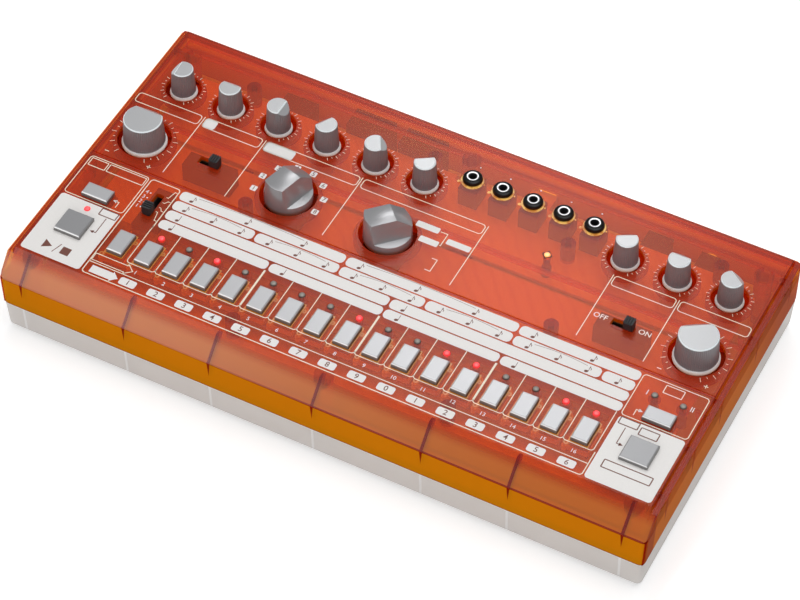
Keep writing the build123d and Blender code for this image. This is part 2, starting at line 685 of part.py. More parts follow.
# ---------------------------------------------------------------- screws
def screw(spot, head_size, shank_size, head_z, up):
    """Pan head screw with its seat at head_z, pointing up or down; sizes are diameter and length."""
    sign = 1 if up else -1
    head_d, head_h = head_size
    shank_d, shank_l = shank_size
    x, y = at(*spot)
    head = Pos(x, y, head_z - sign * head_h / 2) * Cylinder(head_d / 2, head_h)
    face = head.faces().sort_by(Axis.Z)[0 if up else -1]
    head = fillet(face.edges(), head_h / 3)
    cross = Pos(x, y, head_z - sign * head_h) * (
        Box(head_d / 2, head_d / 8, head_h) + Box(head_d / 8, head_d / 2, head_h))
    shank = Pos(x, y, head_z + sign * shank_l / 2) * Cylinder(shank_d / 2, shank_l)
    return head - cross + shank


def case_screws():
    seat = BASE_Z + HEAD_SINK + HEAD_H
    head = (HEAD_D, HEAD_H)
    shank = (CASE_SCREW_D, CASE_SCREW_L)
    return [screw(spot, head, shank, seat, True) for spot in CASE_SCREW_SPOTS]


def board_screws():
    head = (BOARD_HEAD_D, BOARD_HEAD_H)
    shank = (BOARD_SCREW_D, BOARD_SCREW_L + BOARD_T - SCREW_TIP_GAP)
    set_up = [screw(spot, head, shank, BOARD_UNDER_Z, True) for spot in UPPER_SCREWS]
    set_down = [screw(spot, head, shank, IO_TOP_Z, False) for spot in IO_BOARD_SCREWS]
    return set_up + set_down


# ---------------------------------------------------------------- boards
def board(u_span, v_span, z_under, screws):
    sheet = block(u_span[0], u_span[1], v_span[0], v_span[1], z_under, z_under + BOARD_T)
    for u, v in screws:
        sheet -= peg(u, v, BOARD_SCREW_D / 2 + SCREW_GAP, z_under - 1, z_under + BOARD_T + 1)
    return sheet


def front_board():
    return board(BOARD_SIDES_U, (FRONT_BOARD_V, FRONT_BOARD_REAR_V), BOARD_UNDER_Z, FRONT_BOARD_SCREWS)


def rear_board():
    v_span = (REAR_BOARD_FRONT_V, REAR_BOARD_REAR_V)
    sheet = board(BOARD_SIDES_U, v_span, BOARD_UNDER_Z, REAR_BOARD_SCREWS)
    low_z = BOARD_UNDER_Z - 1
    top_z = BOARD_TOP_Z + 1
    notch_v = DECK_D - BOARD_NOTCH_IN
    sheet -= block(0, BOARD_NOTCH_U, notch_v, DECK_D, low_z, top_z)
    sheet -= block(DECK_W - BOARD_NOTCH_U, DECK_W, notch_v, DECK_D, low_z, top_z)
    u, v = MID_REAR_SCREW
    sheet -= block(u - BOSS_NOTCH, u + BOSS_NOTCH, v - BOSS_NOTCH, DECK_D, low_z, top_z)
    return sheet


def io_board():
    u_span = (IO_BOARD_LEFT_U, DECK_W - IO_BOARD_RIGHT_IN)
    v_span = (DECK_D - IO_BOARD_FRONT_IN, DECK_D - IO_BOARD_REAR_IN)
    sheet = board(u_span, v_span, IO_UNDER_Z, IO_BOARD_SCREWS)
    u, v = MID_REAR_SCREW
    return sheet - peg(u, v, BOSS_NOTCH, IO_UNDER_Z - 1, IO_TOP_Z + 1)


# ---------------------------------------------------------------- pots and selectors
def turner_body(u, v, width, length, height, neck_d):
    """Body of a pot or a rotary switch, with the bore its spindle turns in."""
    x, y = at(u, v)
    can = Pos(x, y, BOARD_TOP_Z + height / 2) * Box(width, length, height)
    can = chamfer(can.faces().sort_by(Axis.Z)[-1].edges(), POT_H / 10)
    neck = peg(u, v, neck_d / 2, BOARD_TOP_Z + height / 2, BOARD_TOP_Z + POT_H + POT_NECK_H)
    bore = peg(u, v, POT_BORE_D / 2, SPINDLE_FOOT_Z - SPINDLE_GAP, KNOB_FOOT_Z)
    return can + neck - bore


def pots():
    spots = [(u, v) for u, v, facing in small_knob_layout().values()]
    spots += [(TEMPO_U, LARGE_V), (VOLUME_U, LARGE_V)]
    return [turner_body(u, v, POT_W, POT_D, POT_H, POT_NECK_D) for u, v in spots]


def rotary_switches():
    bodies = []
    for u in (INSTRUMENT_U, MODE_U):
        bodies.append(turner_body(u, LARGE_V, ROTARY_W, ROTARY_W, ROTARY_H, ROTARY_NECK_D))
    return bodies


# ---------------------------------------------------------------- knobs
def d_bar(radius, z_low, z_flat, z_high, flat_gap):
    """Round bar on the Z axis whose upper end carries a flat, as the end of a spindle does."""
    bar = Pos(0, 0, (z_low + z_high) / 2) * Cylinder(radius, z_high - z_low)
    slab = Box(SPINDLE_D + 1, SPINDLE_D, z_high - z_flat)
    return bar - Pos(0, SPINDLE_FLAT + flat_gap, (z_flat + z_high) / 2) * slab


def spindle():
    return d_bar(SPINDLE_D / 2, SPINDLE_FOOT_Z, SPINDLE_TOP_Z - SPINDLE_FLAT_L, SPINDLE_TOP_Z, 0.0)


def spindle_socket():
    """Hole in a knob that grips the spindle, flat and all."""
    gap = SPINDLE_SEAT_GAP
    flat_z = SPINDLE_TOP_Z - SPINDLE_FLAT_L + gap
    return d_bar(SPINDLE_D / 2 + gap, KNOB_FOOT_Z - 1, flat_z, SPINDLE_TOP_Z + gap, gap)


def facet_cut(chord, angle, reach):
    """Wedge that slices the pointer facet off the front of a knob's top."""
    drop = reach * math.tan(math.radians(angle))
    side = Plane.YZ * make_face(Polyline(
        (chord, TOTAL_H),
        (chord + reach, TOTAL_H - drop),
        (chord + reach, TOTAL_H + drop),
        (chord, TOTAL_H + drop),
        close=True,
    ))
    return extrude(side, amount=reach, both=True)


def side_grooves(foot_r, top_r, count):
    """Fine grooves that ring a knob's side and give the fingers their grip."""
    z_low = KNOB_FOOT_Z + KNOB_SKIRT_H + 2 * KNOB_TOP_CHAMFER
    lean = math.degrees(math.atan((foot_r - top_r) / (TOTAL_H - z_low)))
    bar = Rot(0, 0, 45) * Box(GROOVE_W, GROOVE_W, 2 * (TOTAL_H - z_low))
    groove = Rot(0, -lean, 0) * bar
    clear = Pos(0, 0, z_low / 2) * Cylinder(2 * foot_r, z_low)
    grooves = Part()
    for i in range(count):
        grooves += Rot(0, 0, (i + 0.5) * 360 / count) * Pos(top_r, 0, TOTAL_H) * groove
    return grooves - clear


def round_knob(skirt_r, foot_r, top_r, facet, groove_count, hollow):
    z_skirt = KNOB_FOOT_Z + KNOB_SKIRT_H
    edge = KNOB_TOP_CHAMFER
    side = make_face(Polyline(
        (0, KNOB_FOOT_Z),
        (skirt_r, KNOB_FOOT_Z),
        (skirt_r, z_skirt - edge),
        (skirt_r - edge, z_skirt),
        (foot_r, z_skirt + edge),
        (top_r, TOTAL_H - edge),
        (top_r - edge, TOTAL_H),
        (0, TOTAL_H),
        close=True,
    ))
    knob = revolve(Plane.XZ * side, Axis.Z)
    knob -= facet_cut(facet, FACET_ANGLE, top_r)
    knob -= side_grooves(foot_r, top_r, groove_count)
    if hollow:
        hub_r = SPINDLE_D / 2 + KNOB_HUB_WALL
        roof = TOTAL_H - KNOB_ROOF_T - (top_r - facet) * math.tan(math.radians(FACET_ANGLE))
        ring = Pos(0, 0, (KNOB_FOOT_Z - 1 + roof) / 2) * (
            Cone(foot_r - LARGE_WALL, top_r - LARGE_WALL, roof - KNOB_FOOT_Z + 1)
            - Cylinder(hub_r, roof - KNOB_FOOT_Z + 1))
        webs = Part()
        for i in range(3):
            webs += Rot(0, 0, 60 * i) * Pos(0, 0, (KNOB_FOOT_Z + KNOB_SKIRT_H + roof) / 2) * Box(
                2 * foot_r, KNOB_ROOF_T / 2, roof - KNOB_FOOT_Z - KNOB_SKIRT_H)
        knob -= ring - webs
    return knob - spindle_socket()


def selector_knob():
    """Bar-topped selector: a drum, two scooped sides and a nose that slopes to the pointer."""
    drum = Pos(0, 0, KNOB_FOOT_Z + KNOB_H / 2) * Cone(SELECTOR_R, SELECTOR_TOP_R, KNOB_H)
    shelf_z = KNOB_FOOT_Z + SELECTOR_SHELF_H
    half = SELECTOR_BAR_W / 2
    reach = 2 * SELECTOR_R
    for side in (-1, 1):
        scoop = make_face(
            ThreePointArc(
                (side * half, TOTAL_H),
                (side * (half + SELECTOR_SCOOP / 2), shelf_z + (TOTAL_H - shelf_z) / 3),
                (side * SELECTOR_SHELF_CHORD, shelf_z),
            )
            + Polyline(
                (side * SELECTOR_SHELF_CHORD, shelf_z),
                (side * reach, shelf_z),
                (side * reach, TOTAL_H),
                (side * half, TOTAL_H),
            )
        )
        drum -= extrude(Plane.XZ * scoop, amount=reach, both=True)
    drum -= facet_cut(SELECTOR_NOSE, SELECTOR_NOSE_ANGLE, SELECTOR_R)
    rim = KNOB_FOOT_Z + SELECTOR_WALL
    hub_r = SPINDLE_D / 2 + KNOB_HUB_WALL
    hollow = Pos(0, 0, (KNOB_FOOT_Z - 1 + shelf_z - SELECTOR_WALL) / 2) * (
        Cylinder(SELECTOR_TOP_R - SELECTOR_WALL, shelf_z - SELECTOR_WALL - KNOB_FOOT_Z + 1)
        - Cylinder(hub_r, shelf_z - SELECTOR_WALL - KNOB_FOOT_Z + 1))
    web = Pos(0, 0, (rim + shelf_z) / 2) * Box(2 * SELECTOR_TOP_R, SELECTOR_WALL, shelf_z - rim)
    return drum - (hollow - web) - spindle_socket()


def knob_set(u, v, facing, knob):
    """Knob and its spindle, turned so that the facet looks along facing."""
    x, y = at(u, v)
    place = Pos(x, y, 0) * Rot(0, 0, facing - 90)
    return [place * knob, place * spindle()]


# ---------------------------------------------------------------- buttons
def push_button(u, v, width, length):
    top_z = DECK_Z + BUTTON_RISE
    lip_top = DECK_UNDER_Z - BUTTON_LIP_GAP
    lip_low = lip_top - BUTTON_LIP_T
    cap = Pos(0, 0, (lip_low + top_z) / 2) * Box(width, length, top_z - lip_low)
    cap = chamfer(cap.faces().sort_by(Axis.Z)[-1].edges(), BUTTON_CHAMFER)
    lip = Box(width + 2 * BUTTON_LIP, length + 2 * BUTTON_LIP, BUTTON_LIP_T)
    cap += Pos(0, 0, (lip_low + lip_top) / 2) * lip
    roof = top_z - BUTTON_ROOF_T
    cap -= Pos(0, 0, (lip_low - 1 + roof) / 2) * Box(width - 2 * BUTTON_WALL, length - 2 * BUTTON_WALL,
                                                     roof - lip_low + 1)
    foot = BOARD_TOP_Z + TACT_H - STEM_PLUNGE
    stem_d = TACT_HOLE_D - 2 * STEM_GAP
    cap += Pos(0, 0, (foot + roof + 0.5) / 2) * Cylinder(stem_d / 2, roof + 0.5 - foot)
    web_w = min(width, length) - BUTTON_WALL
    cap += Pos(0, 0, (lip_low + roof + 0.5) / 2) * Box(web_w, BUTTON_WALL, roof + 0.5 - lip_low)
    return Pos(*at(u, v)) * cap


def tact_switches():
    bodies = []
    for u, v, width, length in button_layout().values():
        x, y = at(u, v)
        can = Pos(x, y, BOARD_TOP_Z + TACT_H / 2) * Box(TACT_W, TACT_W, TACT_H)
        can = chamfer(can.faces().sort_by(Axis.Z)[-1].edges(), BUTTON_CHAMFER)
        well = peg(u, v, TACT_HOLE_D / 2, BOARD_TOP_Z + TACT_H - STEM_PLUNGE - BUTTON_TRAVEL - STEM_GAP,
                   BOARD_TOP_Z + TACT_H + 1)
        bodies.append(can - well)
    return bodies


# ---------------------------------------------------------------- slide switches
def slide_switches():
    bodies = []
    top = DECK_UNDER_Z - SLIDE_BODY_GAP
    for u, v, turn, travel, side in slide_switches_layout().values():
        can = Pos(0, 0, (BOARD_TOP_Z + top) / 2) * Box(SLIDE_BODY_L, SLIDE_BODY_W, top - BOARD_TOP_Z)
        track = Pos(0, 0, top - SLIDE_WELL / 2) * Box(
            travel + SLIDE_CAP_L + 2 * SLIDE_END_GAP, SLIDE_NECK_W + 2 * SLIDE_SLIP, SLIDE_WELL)
        bodies.append(Pos(*at(u, v)) * Rot(0, 0, turn) * (can - track))
    return bodies


def slide_cap(name):
    u, v, turn, travel, side = slide_switches_layout()[name]
    base = DECK_Z + SLIDE_CAP_LIFT
    top = DECK_Z + SLIDE_CAP_RISE
    foot = DECK_UNDER_Z - SLIDE_BODY_GAP - SLIDE_WELL + SLIDE_SLIP
    cap = Pos(0, 0, (base + top) / 2) * Box(SLIDE_CAP_L, SLIDE_CAP_W, top - base)
    cap = chamfer(cap.edges().filter_by(Axis.Z), SLIDE_RIDGE_H)
    pitch = SLIDE_CAP_L / SLIDE_RIDGES
    valley = Box(pitch / 2, SLIDE_CAP_W + 1, 2 * SLIDE_RIDGE_H)
    for i in range(1, SLIDE_RIDGES):
        cap -= Pos(-SLIDE_CAP_L / 2 + i * pitch, 0, top) * valley
    cap += Pos(0, 0, (foot + base + 0.1) / 2) * Box(SLIDE_CAP_L, SLIDE_NECK_W, base + 0.1 - foot)
    shift = Pos(side * travel / 2, 0, 0)
    return Pos(*at(u, v)) * Rot(0, 0, turn) * shift * cap


# ---------------------------------------------------------------- patch jacks and lamps
def patch_jacks():
    bodies = []
    shoulder = DECK_UNDER_Z - SLIDE_BODY_GAP
    mouth_z = DECK_Z + JACK_RISE
    for u, v in jack_layout():
        x, y = at(u, v)
        can = Pos(x, y, (BOARD_TOP_Z + shoulder) / 2) * Box(JACK_W, JACK_L, shoulder - BOARD_TOP_Z)
        barrel = peg(u, v, JACK_BARREL_D / 2, BOARD_TOP_Z + 1, mouth_z)
        bore = peg(u, v, JACK_BORE_D / 2, mouth_z - JACK_BORE_DEPTH, mouth_z + 1)
        bodies.append(can + barrel - bore)
    return bodies


def patch_jack_nuts():
    nuts = []
    for u, v in jack_layout():
        nut = peg(u, v, JACK_NUT_D / 2, DECK_Z, DECK_Z + JACK_NUT_T)
        nut = fillet(nut.edges().filter_by(GeomType.CIRCLE).sort_by(Axis.Z)[-1:], JACK_NUT_T / 3)
        thread = peg(u, v, (JACK_BARREL_D + SCREW_GAP) / 2, DECK_Z - 1, DECK_Z + JACK_NUT_T + 1)
        nuts.append(nut - thread)
    return nuts


def indicator_lamps():
    lamps = []
    spacer_z = BOARD_TOP_Z + LAMP_SPACER_H
    crown = DECK_Z + LAMP_RISE
    for u, v in lamp_layout():
        x, y = at(u, v)
        lamp = peg(u, v, LAMP_D / 2, spacer_z, crown - LAMP_D / 2)
        lamp += Pos(x, y, crown - LAMP_D / 2) * Sphere(LAMP_D / 2)
        lamp += peg(u, v, LAMP_FLANGE_D / 2, spacer_z, spacer_z + LAMP_FLANGE_T)
        lamp += peg(u, v, LAMP_SPACER_D / 2, BOARD_TOP_Z, spacer_z)
        lamps.append(lamp)
    return lamps


# ---------------------------------------------------------------- rear sockets
def socket_block(u, width, depth, height):
    """Square housing that stands on the low board with its face to the back wall."""
    x = at(u, 0)[0]
    return Pos(x, SOCKET_FACE_Y - depth / 2, IO_TOP_Z + height / 2) * Box(width, depth, height)


def bore_y(u, z, radius, y_low, y_high):
    """Round bar or bore that runs front to back."""
    return Pos(at(u, 0)[0], (y_low + y_high) / 2, z) * Rot(90, 0, 0) * Cylinder(radius, y_high - y_low)


def dc_inlet():
    z = IO_TOP_Z + DC_H / 2
    housing = socket_block(DC_U, DC_W, DC_D, DC_H)
    housing -= bore_y(DC_U, z, DC_MOUTH_D / 2, SOCKET_FACE_Y - DC_D + WALL, SOCKET_FACE_Y + 1)
    return housing + bore_y(DC_U, z, DC_PIN_D / 2, SOCKET_FACE_Y - DC_D + 1, SOCKET_FACE_Y - 1)


def usb_socket():
    z = IO_TOP_Z + USB_H / 2
    x = at(USB_U, 0)[0]
    housing = socket_block(USB_U, USB_W, USB_D, USB_H)
    depth = USB_D - WALL
    housing -= Pos(x, SOCKET_FACE_Y - depth / 2, z) * Box(USB_MOUTH_W, depth, USB_MOUTH_H)
    tongue = Box(USB_TONGUE_W, USB_D - WALL, USB_TONGUE_H)
    return housing + Pos(x, SOCKET_FACE_Y - USB_D / 2 - 1, z) * tongue


def midi_sockets():
    sockets = []
    z = IO_TOP_Z + MIDI_H / 2
    for u in MIDI_US:
        housing = socket_block(u, MIDI_W, MIDI_D, MIDI_H)
        housing -= bore_y(u, z, MIDI_MOUTH_D / 2, SOCKET_FACE_Y - MIDI_MOUTH_DEPTH, SOCKET_FACE_Y + 1)
        core_r = MIDI_PIN_R + 1.5 * MIDI_PIN_D / 2
        housing += bore_y(u, z, core_r, SOCKET_FACE_Y - MIDI_MOUTH_DEPTH - 1, SOCKET_FACE_Y - WALL / 2)
        for i in range(5):
            angle = math.radians(45 * i)
            dx = MIDI_PIN_R * math.cos(angle)
            dz = MIDI_PIN_R * math.sin(angle)
            foot_y = SOCKET_FACE_Y - MIDI_MOUTH_DEPTH
            housing -= bore_y(u + dx, z + dz, MIDI_PIN_D / 2, foot_y, SOCKET_FACE_Y + 1)
        sockets.append(housing)
    return sockets


def output_jack():
    z = IO_TOP_Z + OUT_H / 2
    housing = socket_block(OUT_U, OUT_W, OUT_D, OUT_H)
    housing += bore_y(OUT_U, z, OUT_NOSE_D / 2, SOCKET_FACE_Y - 1, OVERALL_D / 2)
    return housing - bore_y(OUT_U, z, OUT_BORE_D / 2, SOCKET_FACE_Y - OUT_D + WALL, OVERALL_D / 2 + 1)


def output_jack_nut():
    z = IO_TOP_Z + OUT_H / 2
    hexagon = RegularPolygon(OUT_NUT_D / 2, 6)
    nut = Pos(at(OUT_U, 0)[0], OUT_SEAT_Y, z) * Rot(-90, 0, 0) * extrude(hexagon, OUT_NUT_T)
    return nut - bore_y(OUT_U, z, (OUT_NOSE_D + SCREW_GAP) / 2, OUT_SEAT_Y - 1, OUT_SEAT_Y + OUT_NUT_T + 1)


def power_switch():
    z = IO_TOP_Z + POWER_H / 2
    housing = socket_block(POWER_U, POWER_W, POWER_D, POWER_H)
    return housing - bore_y(POWER_U, z, POWER_STEM_D / 2 + STEM_GAP, SOCKET_FACE_Y - POWER_D + WALL,
                            SOCKET_FACE_Y + 1)


def power_button():
    z = IO_TOP_Z + POWER_H / 2
    inner = SOCKET_FACE_Y + POWER_TRAVEL + SOCKET_FACE_GAP
    outer = REAR_Y + POWER_CAP_OUT - WALL / 2
    cap = bore_y(POWER_U, z, POWER_CAP_D / 2, inner, outer)
    cap = fillet(cap.faces().sort_by(Axis.Y)[-1].edges(), BUTTON_CHAMFER)
    foot = SOCKET_FACE_Y - POWER_D + WALL + POWER_TRAVEL + SOCKET_FACE_GAP
    return cap + bore_y(POWER_U, z, POWER_STEM_D / 2, foot, inner + 1)


# ---------------------------------------------------------------- export
def save(name, shape):
    """Write one node as a STEP file."""
    if isinstance(shape, list):
        shape = Compound(children=[Part() + piece for piece in shape])
    shape.label = name
    export_step(shape, f"parts/{name}.step")


def build():
    os.makedirs("parts", exist_ok=True)
    save("upper_case", upper_case())
    save("lower_case", lower_case())
    save("feet", feet())
    save("case_screws", case_screws())
    save("board_screws", board_screws())
    save("front_board", front_board())
    save("rear_board", rear_board())
    save("io_board", io_board())
    save("pots", pots())
    save("rotary_switches", rotary_switches())
    save("slide_switches", slide_switches())
    save("tact_switches", tact_switches())
    save("patch_jacks", patch_jacks())
    save("patch_jack_nuts", patch_jack_nuts())
    save("indicator_lamps", indicator_lamps())
    save("dc_inlet", dc_inlet())
    save("power_switch", power_switch())
    save("usb_socket", usb_socket())
    save("midi_sockets", midi_sockets())
    save("output_jack", output_jack())
    save("output_jack_nut", output_jack_nut())
    save("power_button", power_button())
    small = round_knob(SMALL_SKIRT_R, SMALL_FOOT_R, SMALL_TOP_R, SMALL_FACET, SMALL_GROOVES, False)
    for name, (u, v, facing) in small_knob_layout().items():
        save(f"knob_{name}", knob_set(u, v, facing, small))
    large = round_knob(LARGE_SKIRT_R, LARGE_FOOT_R, LARGE_TOP_R, LARGE_FACET, LARGE_GROOVES, True)
    save("knob_tempo", knob_set(TEMPO_U, LARGE_V, TEMPO_FACING, large))
    save("knob_volume", knob_set(VOLUME_U, LARGE_V, VOLUME_FACING, large))
    selector = selector_knob()
    save("knob_instrument", knob_set(INSTRUMENT_U, LARGE_V, INSTRUMENT_FACING, selector))
    save("knob_mode", knob_set(MODE_U, LARGE_V, MODE_FACING, selector))
    for name, (u, v, width, length) in button_layout().items():
        save(name, push_button(u, v, width, length))
    for name in slide_switches_layout():
        save(f"slide_{name}", slide_cap(name))


build()
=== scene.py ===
import math

import bmesh
import bpy
from mathutils import Matrix, Vector


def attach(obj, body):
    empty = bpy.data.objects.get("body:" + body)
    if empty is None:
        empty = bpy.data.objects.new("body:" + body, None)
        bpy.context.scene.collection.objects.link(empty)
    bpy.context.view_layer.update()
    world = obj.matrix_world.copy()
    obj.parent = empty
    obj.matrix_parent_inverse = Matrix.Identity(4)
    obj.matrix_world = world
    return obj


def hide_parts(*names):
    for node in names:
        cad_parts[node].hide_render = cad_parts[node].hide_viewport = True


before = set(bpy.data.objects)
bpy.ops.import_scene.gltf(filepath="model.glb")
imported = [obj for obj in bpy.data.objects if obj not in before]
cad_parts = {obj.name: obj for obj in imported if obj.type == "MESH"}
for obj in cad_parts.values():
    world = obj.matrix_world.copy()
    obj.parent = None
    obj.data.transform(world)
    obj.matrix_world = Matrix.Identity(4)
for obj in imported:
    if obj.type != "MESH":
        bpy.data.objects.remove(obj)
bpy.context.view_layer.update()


# ------------------------------------------------------------------ lower shell
# The bottom half of the case is a tray of clear plastic, injection moulded and lightly frosted inside.
# It stands on four rubber feet, and six long screws come up through it into the upper half.
class Wire:
    """A node socket that takes part in arithmetic."""

    def __init__(self, nodes, socket):
        self.nodes = nodes
        self.socket = socket

    def __add__(self, other):
        return self.nodes.maths("ADD", self, other)

    def __sub__(self, other):
        return self.nodes.maths("SUBTRACT", self, other)

    def __rsub__(self, other):
        return self.nodes.maths("SUBTRACT", other, self)

    def __mul__(self, other):
        return self.nodes.maths("MULTIPLY", self, other)

    def __truediv__(self, other):
        return self.nodes.maths("DIVIDE", self, other)

    def __mod__(self, other):
        return self.nodes.maths("MODULO", self, other)

    def __abs__(self):
        return self.nodes.maths("ABSOLUTE", self)

    __radd__ = __add__
    __rmul__ = __mul__


class Nodes:
    """A node tree that is filled one node at a time."""

    def __init__(self, tree):
        self.tree = tree

    def add(self, kind, settings=None, sockets=None, out=0):
        """New node: its settings, then the values or links of its sockets, and the output that it hands on."""
        node = self.tree.nodes.new(kind)
        for name, value in (settings or {}).items():
            setattr(node, name, value)
        for name, value in (sockets or {}).items():
            if isinstance(value, Wire):
                self.tree.links.new(value.socket, node.inputs[name])
            else:
                node.inputs[name].default_value = value
        return Wire(self, node.outputs[out]) if node.outputs else None

    def maths(self, operation, first, second=0.0):
        return self.add("ShaderNodeMath", {"operation": operation}, {0: first, 1: second})


class Finish(Nodes):
    """A material in the making, with the pattern coordinates of the piece it covers."""

    def __init__(self, name):
        self.material = bpy.data.materials.new(name)
        self.material.use_nodes = True
        super().__init__(self.material.node_tree)
        self.tree.nodes.clear()
        self.place = self.add("ShaderNodeTexCoord", out="Object")

    def axis(self, name):
        return self.add("ShaderNodeSeparateXYZ", None, {0: self.place}, name)

    def facing(self, name):
        """How far the surface faces along an axis."""
        return self.add("ShaderNodeSeparateXYZ", None, {0: self.add("ShaderNodeTexCoord", out="Normal")}, name)

    def noise(self, scale, detail=2.0):
        return self.add("ShaderNodeTexNoise", None, {"Vector": self.place, "Scale": scale, "Detail": detail})

    def between(self, value, low, high, new_low=0.0, new_high=1.0):
        """Spread of a value moved onto another span, and held inside it."""
        spans = {"From Min": low, "From Max": high, "To Min": new_low, "To Max": new_high}
        return self.add("ShaderNodeMapRange", {"interpolation_type": "SMOOTHSTEP"}, {"Value": value, **spans})

    def blend(self, share, first, second):
        return self.add("ShaderNodeMix", {"data_type": "RGBA"}, {0: share, 6: first, 7: second}, 2)

    def bump(self, height, depth):
        return self.add("ShaderNodeBump", None, {"Height": height, "Strength": 1.0, "Distance": depth})

    def body(self, **sockets):
        named = {name.replace("_", " "): value for name, value in sockets.items()}
        return self.add("ShaderNodeBsdfPrincipled", None, named)

    def done(self, shader):
        self.add("ShaderNodeOutputMaterial", None, {"Surface": shader})
        return self.material


def paint(finish, *names):
    """Give construction solids their finish."""
    for name in names:
        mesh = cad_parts[name].data
        mesh.materials.clear()
        mesh.materials.append(finish)


def see_through(finish, tint, solidity, colour, coat, roughness=0.3):
    """Clear moulding: tinted light goes straight through, the rest meets a cloudy body with a polished skin."""
    through = finish.add("ShaderNodeBsdfTransparent", None, {"Color": tint})
    body = finish.body(Base_Color=colour, Roughness=roughness, IOR=1.03, Coat_Weight=coat, Coat_IOR=2.0,
                       Coat_Roughness=0.28)
    rim = finish.add("ShaderNodeLayerWeight", None, {"Blend": 0.2}, "Fresnel")
    share = rim * 0.2 + solidity
    return finish.add("ShaderNodeMixShader", None, {0: share, 1: through, 2: body})


# Sizes are in millimetres. Paler lines along the floor, the rim and the ribs under each gusset are painted
# highlights.
TO_MM = 1000.0
HALF_DECK = 149.5
GUSSETS = (7.8, 58.7, 100.2, HALF_DECK, 200.4, 240.3, 291.2)
TRAY_FLOOR = 2.6
TRAY_RIM = 16.3
RIB_HALF = 0.35
clear = Finish("frosted clear moulding")
cloud = clear.noise(60.0)
clear_x, clear_z = (clear.axis(name) * TO_MM for name in "XZ")
pale_highlights = (clear.between(clear_z, TRAY_FLOOR, TRAY_FLOOR + 0.6, 1.0, 0.0)
              + clear.between(clear_z, TRAY_RIM, TRAY_RIM + 0.4))
for u in GUSSETS:
    rib_off = abs(clear_x - (u - HALF_DECK))
    pale_highlights = clear.between(rib_off, RIB_HALF, RIB_HALF + 0.4, 0.8, 0.0) + pale_highlights
frosted = clear.blend(cloud, (0.97, 0.925, 0.89, 1.0), (0.91, 0.865, 0.83, 1.0))
clear_shell = clear.done(see_through(
    clear, tint=(0.97, 0.96, 0.945, 1.0), solidity=pale_highlights * 0.12 + 0.62,
    colour=clear.blend(pale_highlights, frosted, (1.0, 0.995, 0.99, 1.0)), coat=0.5,
    roughness=clear.between(cloud, 0.3, 0.7, 0.25, 0.36)))
paint(clear_shell, "lower_case")

rubber = Finish("black rubber")
grain = rubber.noise(900.0)
rubber_feet = rubber.done(rubber.body(
    Base_Color=rubber.blend(grain, (0.035, 0.035, 0.036, 1.0), (0.055, 0.054, 0.053, 1.0)),
    Roughness=0.75, Normal=rubber.bump(grain, 0.0002)))
paint(rubber_feet, "feet")

zinc = Finish("zinc plated steel")
spangle = zinc.noise(260.0)
zinc_steel = zinc.done(zinc.body(
    Base_Color=zinc.blend(spangle, (0.55, 0.55, 0.57, 1.0), (0.70, 0.70, 0.69, 1.0)),
    Metallic=1.0, Roughness=zinc.between(spangle, 0.3, 0.7, 0.28, 0.42)))
paint(zinc_steel, "case_screws", "board_screws")


# ------------------------------------------------------------------ boards
# Three glass fibre boards carry the circuit: two under the deck and a low one for the sockets.
# Each is cut from sheet, coated with a pale lacquer and lined with copper tracks.
def as_piece(form, name, finish, slot, body, *nodes, smooth=30.0, at=(0.0, 0.0), facing=0.0):
    """Turn a shape in millimetres into a finished piece on its body, with its faces outwards."""
    bmesh.ops.recalc_face_normals(form, faces=form.faces)
    mesh = bpy.data.meshes.new(name)
    form.to_mesh(mesh)
    form.free()
    turn = Matrix.Rotation(math.radians(facing), 4, "Z")
    mesh.transform(Matrix.Scale(1 / TO_MM, 4) @ Matrix.Translation((*at, 0.0)) @ turn)
    mesh.shade_smooth()
    mesh.set_sharp_from_angle(angle=math.radians(smooth))
    mesh.materials.append(finish)
    piece = bpy.data.objects.new(name, mesh)
    bpy.context.scene.collection.objects.link(piece)
    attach(piece, body)
    if nodes:
        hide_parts(*nodes)


lacquer = Finish("pale board lacquer")
tracks = lacquer.add("ShaderNodeTexWave", {"wave_type": "BANDS", "bands_direction": "DIAGONAL"},
                     {"Vector": lacquer.place, "Scale": 80.0, "Distortion": 3.0, "Detail": 0.0}, "Fac")
copper = lacquer.between(tracks, 0.6, 1.0)
board_lacquer = lacquer.done(lacquer.body(
    Base_Color=lacquer.blend(copper, (0.90, 0.78, 0.62, 1.0), (0.84, 0.70, 0.53, 1.0)), Roughness=0.4))
paint(board_lacquer, "front_board", "rear_board", "io_board")

moulded = Finish("black moulded plastic")
pore = moulded.noise(350.0)
black_plastic = moulded.done(moulded.body(
    Base_Color=moulded.blend(pore, (0.018, 0.018, 0.020, 1.0), (0.032, 0.032, 0.034, 1.0)),
    Roughness=moulded.between(pore, 0.3, 0.7, 0.44, 0.56), IOR=1.38))
paint(black_plastic, "rotary_switches", "slide_switches", "tact_switches", "patch_jacks", "dc_inlet",
      "midi_sockets", "output_jack", "power_switch", "power_button")
paint(zinc_steel, "pots", "usb_socket", "output_jack_nut")


